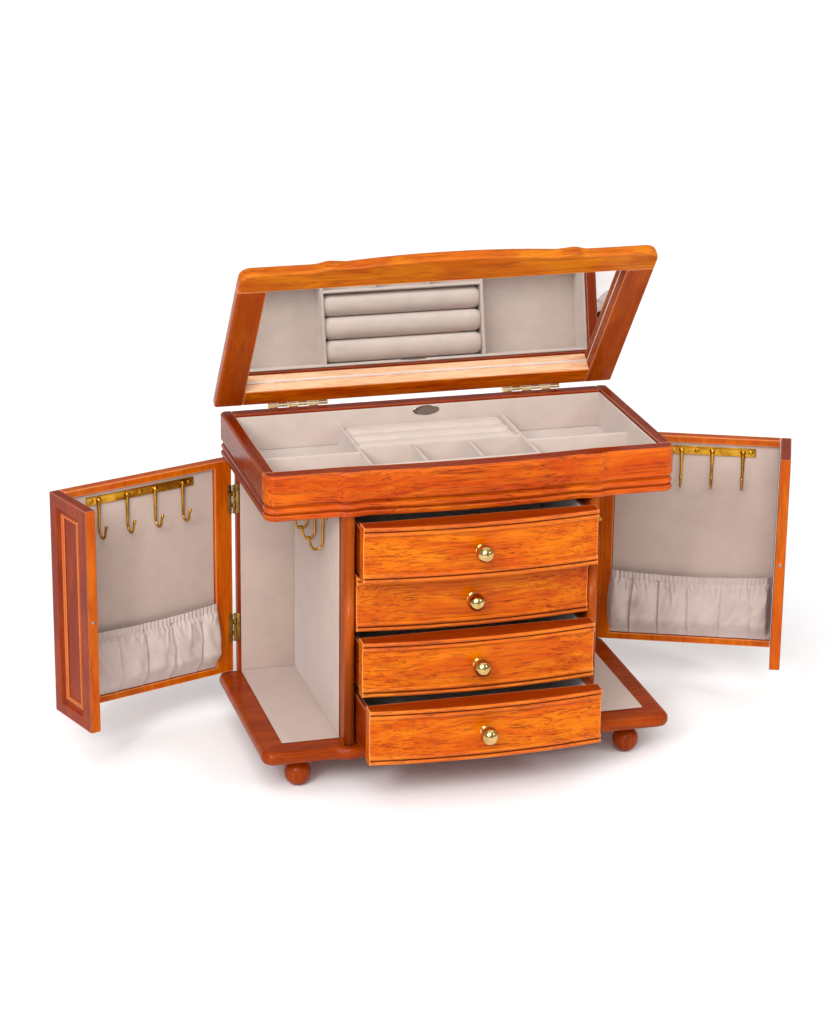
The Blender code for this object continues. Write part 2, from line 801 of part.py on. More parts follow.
def make_drawer(number):
    level = 4 - number
    z0 = DRAWER_Z0 + level * DRAWER_PITCH
    axis = (0.0, 0.0, 0.0)
    empty = axis_empty("drawer_%d_slide" % number, (0.0, -DRAWER_OUT[number], 0.0))
    arc = []
    for i in range(11):
        x = -DRAWER_HALF_W + i * DRAWER_HALF_W / 5
        arc.append((x, DRAWER_FRONT - DRAWER_BOW * (1 - (x / DRAWER_HALF_W) ** 2)))
    levels = [(z0 + d, o) for d, o in BEADS]
    levels += [(z0 + DRAWER_H - d, o) for d, o in reversed(BEADS)]
    back_y = DRAWER_FRONT + DRAWER_T
    rings = []
    for z, offset in levels:
        ring = offset_path(arc, offset)
        ring[0] = (-DRAWER_HALF_W, arc[0][1] - offset)
        ring[-1] = (DRAWER_HALF_W, arc[-1][1] - offset)
        ring += [(DRAWER_HALF_W, back_y), (-DRAWER_HALF_W, back_y)]
        rings.append([(x, y, z) for x, y in ring])
    points, faces = loft_data(rings)
    name = "drawer_%d_" % number
    front = new_object(name + "front", points, faces, OAK)
    on_axis(front, empty, axis)
    half = SIDE_IN - 2.0
    tub = box(
        name + "box", (-half, half), (back_y + GAP, DRAWER_BACK), (z0 + 2.2, z0 + 46.0), DARK_OAK
    )
    on_axis(tub, empty, axis)
    hollow = box_data(-half + 4, half - 4, back_y + 4, DRAWER_BACK - 4, z0 + 5.7, z0 + 60)
    boolean(tub, name + "hollow", hollow, "DIFFERENCE", axis)
    centre = (KNOB_X, DRAWER_FRONT - DRAWER_BOW - BEADS[-1][1], z0 + DRAWER_H / 2 + KNOB_RISE)
    points, faces = turned_data(KNOB_PROFILE, 14, centre, (0, -1, 0))
    knob = new_object(name + "knob", points, faces, BRASS)
    on_axis(knob, empty, axis)


make_base()
make_feet()
make_case()
make_tray()
make_insert()
make_ring_rolls()
make_wall_racks()
make_lid()
for door_side, door_sign in (("left", -1), ("right", 1)):
    make_door(door_side, door_sign)
for drawer_number in (1, 2, 3, 4):
    make_drawer(drawer_number)
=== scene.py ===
"""The looks of the jewellery armoire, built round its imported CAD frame.

Everything is in the frame's own coordinates: metres, +Z up, the origin at the centre of the base
board's underside. Builders take millimetres, in the closed position of the lid, door or drawer
that a piece belongs to, and a matrix carries the piece from there to where that body rests.
"""

import json
import math
import random

import bmesh
import bpy
from mathutils import Matrix, Vector, noise


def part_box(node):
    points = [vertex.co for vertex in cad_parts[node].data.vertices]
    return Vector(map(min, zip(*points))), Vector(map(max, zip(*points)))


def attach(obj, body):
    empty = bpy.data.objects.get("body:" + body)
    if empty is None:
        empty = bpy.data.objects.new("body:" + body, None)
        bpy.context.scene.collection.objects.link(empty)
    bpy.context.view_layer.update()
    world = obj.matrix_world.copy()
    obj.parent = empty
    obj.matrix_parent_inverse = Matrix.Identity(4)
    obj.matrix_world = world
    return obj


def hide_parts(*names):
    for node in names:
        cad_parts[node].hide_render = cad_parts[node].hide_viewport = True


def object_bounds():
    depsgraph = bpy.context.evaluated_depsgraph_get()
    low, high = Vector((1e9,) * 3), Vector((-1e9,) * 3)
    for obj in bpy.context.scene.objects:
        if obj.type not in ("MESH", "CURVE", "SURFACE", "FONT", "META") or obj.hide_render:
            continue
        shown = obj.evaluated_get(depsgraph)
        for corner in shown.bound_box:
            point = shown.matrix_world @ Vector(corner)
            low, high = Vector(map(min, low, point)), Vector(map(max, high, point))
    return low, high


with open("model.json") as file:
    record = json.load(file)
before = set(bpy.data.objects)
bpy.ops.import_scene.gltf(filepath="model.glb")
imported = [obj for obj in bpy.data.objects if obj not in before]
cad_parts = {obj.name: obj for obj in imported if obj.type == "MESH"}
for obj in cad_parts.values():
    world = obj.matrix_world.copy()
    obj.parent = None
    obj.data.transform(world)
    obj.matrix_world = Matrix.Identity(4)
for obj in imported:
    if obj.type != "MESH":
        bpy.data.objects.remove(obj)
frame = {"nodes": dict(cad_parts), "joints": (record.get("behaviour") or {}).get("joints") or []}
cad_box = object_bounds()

MM = 0.001
SIDES = (("left", -1), ("right", 1))
DRAWERS = (1, 2, 3, 4)
STILL = Matrix.Identity(4)

# Camera: where it looks, from which side, and how far away
CAMERA_TARGET = (-0.02185, 0.00606, 0.19362)
CAMERA_AZIMUTH = -15.506
CAMERA_ELEVATION = 19.445
CAMERA_ROLL = 0.683
CAMERA_DISTANCE = 2.7134
CAMERA_LENS = 102.81


# ------------ places in the frame


def find_joint(joint_name):
    return next(j for j in frame["joints"] if j["name"] == joint_name)


def closed_to_rest(joint_name):
    """The matrix that carries a body from its closed position to where it rests."""
    joint = find_joint(joint_name)
    if joint["type"] == "slide":
        return Matrix.Translation(Vector(joint["axis"]) * -joint["range_m"][0])
    at = Vector(joint["pos_m"])
    turn = Matrix.Rotation(-math.radians(joint["range_deg"][0]), 4, Vector(joint["axis"]))
    return Matrix.Translation(at) @ turn @ Matrix.Translation(-at)


def joint_axis(joint_name):
    return Vector(find_joint(joint_name)["pos_m"]) / MM


PLACE = {"case": STILL, "lid": closed_to_rest("lid_hinge")}
for side, _ in SIDES:
    PLACE[side + "_door"] = closed_to_rest(side + "_door_hinge")
for number in DRAWERS:
    PLACE["drawer_%d" % number] = closed_to_rest("drawer_%d_slide" % number)


def closed_box(node, body):
    """(lowest, highest) corner of a CAD node in its body's closed position, in millimetres."""
    back = PLACE[body].inverted()
    points = [back @ v.co / MM for v in frame["nodes"][node].data.vertices]
    low = Vector(min(p[i] for p in points) for i in range(3))
    high = Vector(max(p[i] for p in points) for i in range(3))
    return low, high


# ------------ materials


def rgb(red, green, blue):
    """A linear colour from 8-bit sRGB numbers."""
    linear = []
    for value in (red, green, blue):
        c = value / 255
        linear.append(c / 12.92 if c <= 0.04045 else ((c + 0.055) / 1.055) ** 2.4)
    return (*linear, 1.0)


def add_node(tree, kind, inputs=None, **settings):
    made = tree.nodes.new("ShaderNode" + kind)
    for key, value in settings.items():
        setattr(made, key, value)
    for key, value in (inputs or {}).items():
        if isinstance(value, bpy.types.NodeSocket):
            tree.links.new(value, made.inputs[key])
        else:
            made.inputs[key].default_value = value
    return made


def mix(tree, factor, first, second, blend="MIX"):
    made = add_node(tree, "Mix", data_type="RGBA", blend_type=blend)
    for socket, value in ((0, factor), (6, first), (7, second)):
        if isinstance(value, bpy.types.NodeSocket):
            tree.links.new(value, made.inputs[socket])
        else:
            made.inputs[socket].default_value = value
    return made.outputs[2]


def remap(tree, value, low, high, to_low=0.0, to_high=1.0):
    inputs = {"Value": value, "From Min": low, "From Max": high}
    inputs.update({"To Min": to_low, "To Max": to_high})
    return add_node(tree, "MapRange", inputs, interpolation_type="SMOOTHSTEP").outputs["Result"]


def scaled(tree, vector, scale, turn=(0.0, 0.0, 0.0), shift=(0.0, 0.0, 0.0)):
    inputs = {"Vector": vector, "Scale": scale, "Rotation": turn, "Location": shift}
    return add_node(tree, "Mapping", inputs).outputs["Vector"]


def noise_value(tree, vector, detail=2.0, roughness=0.5, distortion=0.0):
    inputs = {"Vector": vector, "Scale": 1.0, "Detail": detail}
    inputs.update({"Roughness": roughness, "Distortion": distortion})
    return add_node(tree, "TexNoise", inputs).outputs["Fac"]


def new_material(name, **shader_values):
    made = bpy.data.materials.new(name)
    made.use_nodes = True
    tree = made.node_tree
    shader = tree.nodes["Principled BSDF"]
    for key, value in shader_values.items():
        shader.inputs[key.replace("_", " ")].default_value = value
    place = add_node(tree, "TexCoord").outputs["Object"]
    return made, tree, shader, place


def dress(tree, shader, colour, height=None, strength=0.0, depth=0.0):
    """Links the colour, and a fine relief where there is one, to the shader."""
    tree.links.new(colour, shader.inputs["Base Color"])
    if height:
        inputs = {"Height": height, "Strength": strength, "Distance": depth}
        bump = add_node(tree, "Bump", inputs)
        tree.links.new(bump.outputs["Normal"], shader.inputs["Normal"])


# Which way the fibres run, as the rotation that lays them along X.
GRAIN = {
    "X": Matrix.Identity(3),
    "Y": Matrix(((0, 1, 0), (-1, 0, 0), (0, 0, 1))),
    "Z": Matrix(((0, 0, 1), (0, 1, 0), (-1, 0, 0))),
}


def palette(figure, *shades):
    """Light, mid, red patch, dark streak and pore colours, and how strong the figure is."""
    return (*(rgb(*shade) for shade in shades), figure)


PALETTES = {
    "veneer": palette(1.0, (218, 114, 2), (200, 86, 0), (176, 58, 0), (122, 34, 0), (70, 16, 0)),
    "tray": palette(1.0, (208, 98, 2), (190, 71, 0), (166, 48, 0), (116, 28, 0), (66, 14, 0)),
    "lid": palette(0.8, (212, 118, 10), (190, 90, 4), (164, 62, 2), (116, 38, 0), (72, 20, 0)),
    "stile": palette(0.6, (172, 76, 4), (158, 62, 2), (136, 46, 0), (104, 30, 0), (72, 18, 0)),
    "inner": palette(0.6, (198, 98, 2), (184, 78, 0), (160, 58, 0), (122, 38, 0), (80, 22, 0)),
    "post": palette(0.55, (156, 62, 2), (140, 48, 0), (120, 36, 0), (92, 24, 0), (64, 14, 0)),
    "side": palette(0.5, (146, 50, 2), (128, 38, 0), (108, 28, 0), (82, 18, 0), (56, 12, 0)),
    # Pale peach for the strip on the rail below the mirror: a painted sheen on that edge.
    "painted_sheen": palette(
        0.8, (240, 196, 160), (232, 182, 142), (222, 164, 120), (190, 132, 92), (150, 98, 66)
    ),
}
# How near a surface must be to another for painted groove shade, or painted arris highlight, in
# metres.
GROOVE_REACH = 0.0028
ARRIS_REACH = 0.0013


def wood(name, palette_name, grain, body, centre, seed, pith=(38.0, 4.0), painted_top_shade=0.0, solid=True):
    """Lacquered veneer: nearly straight grain with red patches, dark streaks and fine pores.

    centre is the piece's middle, in the closed position, and pith is how far the middle of its
    faint growth rings lies from it, both in millimetres. The top shade amount is how much darker
    the faces that look up in the closed position are painted, as painted shade.
    A thin strip isn't solid, and has no grooves or arrises to paint shade or highlight on.
    """
    light, mid, red, dark, pore, figure = PALETTES[palette_name]
    made, tree, shader, place = new_material(name, Coat_Weight=0.16, Coat_Roughness=0.14)
    shader.inputs["Specular IOR Level"].default_value = 0.05
    turn = GRAIN[grain] @ PLACE[body].inverted().to_3x3()
    middle = turn @ (PLACE[body] @ (Vector(centre) * MM))
    shift = Vector((seed * 0.61, pith[0] * MM, pith[1] * MM)) - middle
    grain_space = scaled(tree, place, (1.0, 1.0, 1.0), turn.to_euler(), shift)

    drift = noise_value(tree, scaled(tree, grain_space, (9.0, 30.0, 30.0)), 2.0, 0.5)
    bend = add_node(tree, "CombineXYZ")
    tree.links.new(remap(tree, drift, 0.2, 0.8, -0.003, 0.003), bend.inputs["Z"])
    tree.links.new(remap(tree, drift, 0.3, 0.9, -0.003, 0.003), bend.inputs["Y"])
    bent = add_node(tree, "VectorMath", operation="ADD")
    tree.links.new(grain_space, bent.inputs[0])
    tree.links.new(bend.outputs["Vector"], bent.inputs[1])
    along = bent.outputs["Vector"]
    inputs = {"Vector": scaled(tree, along, (0.12, 1.0, 1.0)), "Scale": 46.0, "Distortion": 1.6}
    inputs.update({"Detail": 2.0, "Detail Scale": 1.6, "Detail Roughness": 0.55})
    wave = {"wave_type": "RINGS", "rings_direction": "X", "wave_profile": "SAW"}
    rings = add_node(tree, "TexWave", inputs, **wave).outputs["Fac"]

    patch = noise_value(tree, scaled(tree, along, (14.0, 60.0, 60.0)), 2.0, 0.55, 0.4)
    elsewhere = scaled(tree, along, (11.0, 75.0, 75.0), shift=(3.1, 0.7, 0.2))
    blush = noise_value(tree, elsewhere, 3.0, 0.6, 0.6)
    streak = noise_value(tree, scaled(tree, along, (13.0, 560.0, 560.0)), 4.0, 0.6, 0.1)
    dash = noise_value(tree, scaled(tree, along, (30.0, 1150.0, 1150.0)), 3.0, 0.6)
    fibre = noise_value(tree, scaled(tree, along, (70.0, 2900.0, 2900.0)), 2.0, 0.6)

    colour = mix(tree, remap(tree, patch, 0.36, 0.66), mid, light)
    colour = mix(tree, remap(tree, blush, 0.5, 0.7, 0.0, 0.7 * figure), colour, red)
    colour = mix(tree, remap(tree, rings, 0.5, 1.0, 0.0, 0.28 * figure), colour, red)
    colour = mix(tree, remap(tree, streak, 0.5, 0.68, 0.0, 0.6 * figure), colour, dark)
    broken = add_node(tree, "Math", operation="MULTIPLY")
    tree.links.new(remap(tree, dash, 0.54, 0.66, 0.0, 0.8 * figure), broken.inputs[0])
    tree.links.new(remap(tree, blush, 0.32, 0.58, 0.25, 1.0), broken.inputs[1])
    colour = mix(tree, broken.outputs[0], colour, pore)
    colour = mix(tree, remap(tree, fibre, 0.35, 0.75, 0.0, 0.2), colour, dark)
    # Painted shade: the faces that look up in the closed position are painted darker.
    if painted_top_shade:
        normal = add_node(tree, "TexCoord").outputs["Normal"]
        up = PLACE[body].to_3x3() @ Vector((0, 0, 1))
        facing = add_node(tree, "VectorMath", {1: tuple(up)}, operation="DOT_PRODUCT")
        tree.links.new(normal, facing.inputs[0])
        top_shade_mask = remap(tree, facing.outputs["Value"], 0.8, 0.97, 0.0, painted_top_shade)
        colour = mix(tree, top_shade_mask, colour, dark)
    if solid:
        # Painted shade darkens the grooves, and a painted highlight lightens the arrises.
        inputs = {"Distance": GROOVE_REACH}
        groove = add_node(tree, "AmbientOcclusion", inputs, samples=4, only_local=True)
        colour = mix(tree, remap(tree, groove.outputs["AO"], 0.84, 0.4, 0.0, 0.95), colour, pore)
        inputs = {"Distance": ARRIS_REACH}
        arris = add_node(tree, "AmbientOcclusion", inputs, samples=4, only_local=True, inside=True)
        # A pale painted highlight colour, laid on the arrises.
        highlight_tint = (0.26, 0.208, 0.143)
        arris_highlight_colour = tuple(min(1.0, 1.2 * c + pale) for c, pale in zip(light, highlight_tint)) + (1.0,)
        colour = mix(tree, remap(tree, arris.outputs["AO"], 0.9, 0.6, 0.0, 0.9), colour, arris_highlight_colour)
    tree.links.new(remap(tree, dash, 0.4, 0.75, 0.26, 0.44), shader.inputs["Roughness"])
    dress(tree, shader, colour, dash, 0.1, 0.0003)
    return made


def suede(name, shade):
    """Flocked lining: a fine nap that is brushed lighter and darker in soft patches."""
    made, tree, shader, place = new_material(name, Roughness=0.95, Sheen_Weight=0.35)
    shader.inputs["Sheen Roughness"].default_value = 0.45
    shader.inputs["Specular IOR Level"].default_value = 0.12
    brushed = noise_value(tree, scaled(tree, place, (34.0, 34.0, 34.0)), 3.0, 0.6, 0.8)
    fluff = noise_value(tree, scaled(tree, place, (1500.0, 1500.0, 1500.0)), 2.0, 0.6)
    deep = tuple(c * 0.92 for c in shade[:3]) + (1.0,)
    pale = tuple(min(1.0, c * 1.04) for c in shade[:3]) + (1.0,)
    colour = mix(tree, remap(tree, brushed, 0.25, 0.75, 0.2, 0.95), deep, pale)
    colour = mix(tree, remap(tree, fluff, 0.3, 0.75, 0.0, 0.3), colour, deep)
    dress(tree, shader, colour, fluff, 0.35, 0.0003)
    return made


def woven(name, shade, body):
    """Thin plain-weave lining cloth, seen along its two thread directions."""
    made, tree, shader, place = new_material(name, Roughness=0.72, Sheen_Weight=0.45)
    shader.inputs["Sheen Roughness"].default_value = 0.4
    shader.inputs["Specular IOR Level"].default_value = 0.25
    turn = PLACE[body].inverted().to_euler()
    flat = scaled(tree, place, (1.0, 1.0, 1.0), turn)
    threads = []
    for direction in ("Y", "Z"):
        inputs = {"Vector": flat, "Scale": 480.0, "Distortion": 0.6, "Detail": 1.0}
        wave = add_node(tree, "TexWave", inputs, wave_type="BANDS", bands_direction=direction)
        threads.append(wave.outputs["Fac"])
    weave = add_node(tree, "Math", operation="MULTIPLY")
    tree.links.new(threads[0], weave.inputs[0])
    tree.links.new(threads[1], weave.inputs[1])
    cloudy = noise_value(tree, scaled(tree, flat, (40.0, 40.0, 40.0)), 3.0, 0.6)
    deep = tuple(c * 0.82 for c in shade[:3]) + (1.0,)
    colour = mix(tree, remap(tree, cloudy, 0.3, 0.7, 0.3, 1.0), deep, shade)
    colour = mix(tree, remap(tree, weave.outputs[0], 0.0, 1.0, 0.16, 0.0), colour, deep)
    dress(tree, shader, colour, weave.outputs[0], 0.3, 0.0002)
    return made


def metal(name, bright, tarnish, low_rough, high_rough):
    """Lacquered brass: cloudy tarnish and faint handling marks in its gloss."""
    made, tree, shader, place = new_material(name, Metallic=1.0)
    cloud = noise_value(tree, scaled(tree, place, (90.0, 90.0, 90.0)), 4.0, 0.6, 0.6)
    scuff = noise_value(tree, scaled(tree, place, (900.0, 900.0, 900.0)), 3.0, 0.65)
    colour = mix(tree, remap(tree, cloud, 0.35, 0.75), bright, tarnish)
    rough = remap(tree, scuff, 0.35, 0.8, low_rough, high_rough)
    tree.links.new(rough, shader.inputs["Roughness"])
    dress(tree, shader, colour, scuff, 0.05, 0.0002)
    return made


def mirror_glass():
    made, tree, shader, place = new_material("mirror_silvered", Metallic=1.0, Roughness=0.01)
    film = noise_value(tree, scaled(tree, place, (60.0, 60.0, 60.0)), 2.0, 0.5)
    tint = mix(tree, remap(tree, film, 0.3, 0.7), rgb(250, 250, 250), rgb(243, 246, 246))
    dress(tree, shader, tint)
    return made


def glass_edge():
    """The ground edge of the mirror, which catches the light as a thin pale line."""
    made, tree, shader, place = new_material("mirror_ground_edge", Roughness=0.3)
    shader.inputs["Coat Weight"].default_value = 1.0
    frost = noise_value(tree, scaled(tree, place, (400.0, 400.0, 400.0)), 2.0, 0.5)
    tint = mix(tree, remap(tree, frost, 0.3, 0.7), rgb(255, 252, 250), rgb(244, 238, 234))
    dress(tree, shader, tint)
    return made


LINING = suede("suede_lining", rgb(186, 166, 155))
TRAY_LINING = suede("suede_tray", rgb(198, 182, 172))
DRAWER_LINING = suede("suede_drawer", rgb(206, 202, 200))
RACK_BRASS = metal("brass_racks", rgb(206, 152, 48), rgb(150, 98, 18), 0.16, 0.34)
AGED_BRASS = metal("brass_aged", rgb(176, 138, 70), rgb(104, 76, 32), 0.24, 0.42)
PALE_BRASS = metal("brass_pale", rgb(250, 238, 208), rgb(226, 200, 148), 0.3, 0.5)
KNOB_BRASS = metal("brass_knobs", rgb(218, 186, 124), rgb(176, 138, 72), 0.06, 0.16)
STEEL = metal("strike_steel", rgb(168, 158, 150), rgb(120, 110, 102), 0.25, 0.45)
MIRROR = mirror_glass()
GLASS_EDGE = glass_edge()


# ------------ builders


def smooth(mesh, angle):
    mesh.shade_smooth()
    mesh.set_sharp_from_angle(angle=math.radians(angle))


def piece(name, points, faces, material, body, slot, replaced=(), angle=38.0):
    """A piece from millimetre points in the closed position, riding on its body."""
    place = PLACE[body]
    mesh = bpy.data.meshes.new(name)
    mesh.from_pydata([place @ (Vector(p) * MM) for p in points], [], faces)
    work = bmesh.new()
    work.from_mesh(mesh)
    bmesh.ops.recalc_face_normals(work, faces=work.faces)
    work.to_mesh(mesh)
    work.free()
    smooth(mesh, angle)
    mesh.materials.append(material)
    made = bpy.data.objects.new(name, mesh)
    bpy.context.scene.collection.objects.link(made)
    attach(made, body)
    if replaced:
        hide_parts(*replaced)
    return made


def join_data(parts):
    points, faces = [], []
    for more_points, more_faces in parts:
        start = len(points)
        points.extend(more_points)
        faces.extend(tuple(i + start for i in face) for face in more_faces)
    return points, faces


def placed(data, matrix):
    return [tuple(matrix @ Vector(p)) for p in data[0]], data[1]


def take_data(work):
    """The points and faces of a bmesh, which is then freed."""
    work.verts.index_update()
    points = [tuple(v.co) for v in work.verts]
    faces = [tuple(v.index for v in f.verts) for f in work.faces]
    work.free()
    return points, faces


def rounded_box(low, high, radius, segments=3):
    """(points, faces) of a box with every edge rounded."""
    work = bmesh.new()
    bmesh.ops.create_cube(work, size=1.0)
    low, high = Vector(low), Vector(high)
    for v in work.verts:
        v.co = Vector(low[i] + (high[i] - low[i]) * (v.co[i] + 0.5) for i in range(3))
    radius = min(radius, 0.48 * min(high[i] - low[i] for i in range(3)))
    how = {"offset": radius, "segments": segments, "profile": 0.5, "affect": "EDGES"}
    bmesh.ops.bevel(work, geom=list(work.edges), **how)
    return take_data(work)


def loft(rings, caps=True):
    count = len(rings[0])
    points = [p for ring in rings for p in ring]
    faces = []
    if caps:
        faces = [tuple(range(count)), tuple(range(len(points) - count, len(points)))]
    for level in range(len(rings) - 1):
        for i in range(count):
            j = (i + 1) % count
            a = level * count
            faces.append((a + i, a + j, a + count + j, a + count + i))
    return points, faces


def smooth_profile(knots, steps):
    """Points on a smooth curve through a turned outline's knots (Catmull-Rom)."""
    padded = [knots[0], *knots, knots[-1]]
    found = []
    for k in range(1, len(padded) - 2):
        p0, p1, p2, p3 = (Vector(p) for p in padded[k - 1 : k + 3])
        for i in range(steps):
            t = i / steps
            bend = (2 * p0 - 5 * p1 + 4 * p2 - p3) * t * t + (3 * p1 - p0 - 3 * p2 + p3) * t**3
            found.append(0.5 * (2 * p1 + (p2 - p0) * t + bend))
    return [tuple(p) for p in found] + [tuple(knots[-1])]


def turned(profile, centre, direction, segments=40):
    """A turned shape: profile of (radius, distance along the direction)."""
    along = Vector(direction).normalized()
    across = along.orthogonal().normalized()
    third = along.cross(across)
    rings = []
    for radius, distance in profile:
        ring = []
        for i in range(segments):
            turn = 2 * math.pi * i / segments
            arm = across * math.cos(turn) + third * math.sin(turn)
            ring.append(tuple(Vector(centre) + along * distance + arm * max(radius, 0.02)))
        rings.append(ring)
    return loft(rings)


def swept(path, radii, flat, across, segments=12):
    """A rod along a plane path; each ring is radii[i] wide across and flat[i] of that deep."""
    across = Vector(across).normalized()
    path = [Vector(p) for p in path]
    rings = []
    for i, centre in enumerate(path):
        ahead = path[min(i + 1, len(path) - 1)] - path[max(i - 1, 0)]
        deep = ahead.cross(across).normalized()
        ring = []
        for k in range(segments):
            turn = 2 * math.pi * k / segments
            arm = across * math.cos(turn) + deep * math.sin(turn) * flat[i]
            ring.append(tuple(centre + arm * radii[i]))
        rings.append(ring)
    return loft(rings)


def screw(centre, normal, radius=1.6, turn=0.5):
    """A domed countersunk screw head with a slot."""
    normal = Vector(normal).normalized()
    across = normal.orthogonal().normalized()
    third = normal.cross(across)
    along = across * math.cos(turn) + third * math.sin(turn)
    side = normal.cross(along)
    segments, points, faces = 24, [], []
    levels = ((1.0, -0.25), (1.0, 0.1), (0.8, 0.38), (0.45, 0.52))
    for s in (-1, 1):
        start = len(points)
        half = []
        for size, rise in levels:
            for i in range(segments // 2 + 1):
                a = math.pi * i / (segments // 2)
                x = math.cos(a) * size * radius
                y = s * (0.14 * radius + math.sin(a) * (size - 0.14) * radius)
                half.append(Vector(centre) + along * x + side * y + normal * rise * radius * 0.6)
        points.extend(tuple(p) for p in half)
        row = segments // 2 + 1
        for level in range(len(levels) - 1):
            for i in range(row):
                j = (i + 1) % row
                a = start + level * row
                faces.append((a + i, a + j, a + row + j, a + row + i))
        faces.append(tuple(range(start, start + row)))
        last = start + (len(levels) - 1) * row
        faces.append(tuple(range(last, last + row)))
    return points, faces


def finish_node(node, material, bevel=0.5, segments=2, angle=35.0):
    """A CAD node whose shape is right: its own material, softened edges and smooth shading."""
    made = frame["nodes"][node]
    made.data.materials.clear()
    made.data.materials.append(material)
    if "custom_normal" in made.data.attributes:
        made.data.attributes.remove(made.data.attributes["custom_normal"])
    made.data.shade_smooth()
    weld = made.modifiers.new("weld", "WELD")
    weld.merge_threshold = 0.000004
    flat = made.modifiers.new("flat_faces", "DECIMATE")
    flat.decimate_type = "DISSOLVE"
    flat.angle_limit = math.radians(0.3)
    if bevel:
        soft = made.modifiers.new("soft_edges", "BEVEL")
        soft.width = bevel * MM
        soft.segments = segments
        soft.limit_method = "ANGLE"
        soft.angle_limit = math.radians(angle)
        soft.miter_outer = "MITER_ARC"
    normals = made.modifiers.new("normals", "WEIGHTED_NORMAL")
    normals.keep_sharp = True
    normals.weight = 50
    return made


def middle_of(node, body):
    low, high = closed_box(node, body)
    return (low + high) / 2


# ------------ wood


def finish_wood():
    """Every wooden CAD node gets veneer that runs along that piece, with its own figure."""
    # Columns: node, palette, grain, body, bevel, and how much painted shade darkens the faces that
    # look up.
    plan = [
        ("base_board", "post", "X", "case", 0.6, 0.0),
        ("back_panel", "side", "Z", "case", 0.4, 0.0),
        ("drawer_shelves", "side", "X", "case", 0.0, 0.0),
        ("tray_front", "tray", "X", "case", 0.35, 0.85),
        ("tray_back", "side", "X", "case", 0.6, 0.2),
        ("lid_front_rail", "lid", "X", "lid", 0.35, 0.0),
        # The back rail takes the lighter veneer palette: painted light on a rail that faces down
        # into shade.
        ("lid_back_rail", "veneer", "X", "lid", 0.6, 0.0),
        ("lid_panel", "lid", "X", "lid", 0.5, 0.0),
    ]
    for tag, _ in SIDES:
        door = tag + "_door"
        plan += [
            ("case_side_" + tag, "stile", "Z", "case", 0.0, 0.0),
            ("tray_" + tag, "side", "Y", "case", 0.35, 0.3),
            ("lid_stile_" + tag, "stile", "Y", "lid", 0.35, 0.0),
            (door + "_shell", "inner", "Z", door, 0.5, 0.3),
            (door + "_return", "side", "Z", door, 0.7, 0.2),
        ]
    for number in DRAWERS:
        body = "drawer_%d" % number
        plan += [
            (body + "_front", "veneer", "X", body, 0.35, 0.9),
            (body + "_box", "side", "Y", body, 0.4, 0.0),
        ]
    for seed, (node, palette, grain, body, bevel, painted_top_shade) in enumerate(plan):
        centre = middle_of(node, body)
        pith = (34.0 + 9.0 * math.sin(seed * 1.7), 10.0 * math.cos(seed * 2.3))
        made = wood("wood_" + node, palette, grain, body, centre, seed + 1, pith, painted_top_shade)
        finish_node(node, made, bevel)
    finish_node("lid_mirror", MIRROR, 0.4)
    finish_node("tray_bottom", LINING, 0.4)


# ------------ turned feet and knobs


# Turned outlines: (radius, distance along the axis)
FOOT_KNOTS = ((7.0, 0.2), (7.2, 3.0), (6.3, 4.9), (8.6, 7.4), (11.3, 11.6), (12.2, 17.0))
FOOT_KNOTS += ((10.7, 22.8), (6.6, 27.4), (3.6, 28.8))
KNOB_COLLAR = [(5.6, 0.25), (6.0, 0.6), (6.0, 1.2), (5.2, 1.6)]
KNOB_KNOTS = ((5.2, 2.6), (3.6, 3.4), (3.3, 4.4), (5.5, 5.6), (7.8, 8.6), (8.2, 11.8))
KNOB_KNOTS += ((7.0, 15.6), (4.2, 18.4), (0.0, 19.6))


def make_feet():
    for end in ("front", "back"):
        for tag, _ in SIDES:
            node = "foot_" + end + "_" + tag
            low, high = (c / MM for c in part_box(node))
            centre = ((low.x + high.x) / 2, (low.y + high.y) / 2, 0.0)
            outline = smooth_profile(FOOT_KNOTS, 6)
            points, faces = turned(outline, centre, (0, 0, -1), 56)
            made = wood("wood_" + node, "post", "Z", "case", centre, 40 + low.x, (20.0, 6.0))
            piece(node + "_turned", points, faces, made, "case", "dark_oak", (node,))


def make_knobs():
    for number in DRAWERS:
        body = "drawer_%d" % number
        low, high = closed_box(body + "_knob", body)
        centre = ((low.x + high.x) / 2, high.y + 0.3, (low.z + high.z) / 2)
        ball = smooth_profile(KNOB_KNOTS, 6)
        points, faces = turned(KNOB_COLLAR + ball, centre, (0, -1, 0), 56)
        piece(body + "_knob_turned", points, faces, KNOB_BRASS, body, "brass", (body + "_knob",))


# ------------ hook racks


RACK_HALF_LENGTH = 56.5
RACK_HEIGHT = 8.5
HOOK_PITCH = 29.5
HOOK_RADIUS = 1.2
TIP_RADIUS = 1.75
RIVET = ((2.4, -0.6), (2.7, 0.2), (2.5, 1.1), (1.8, 2.0), (0.9, 2.5), (0.0, 2.6))


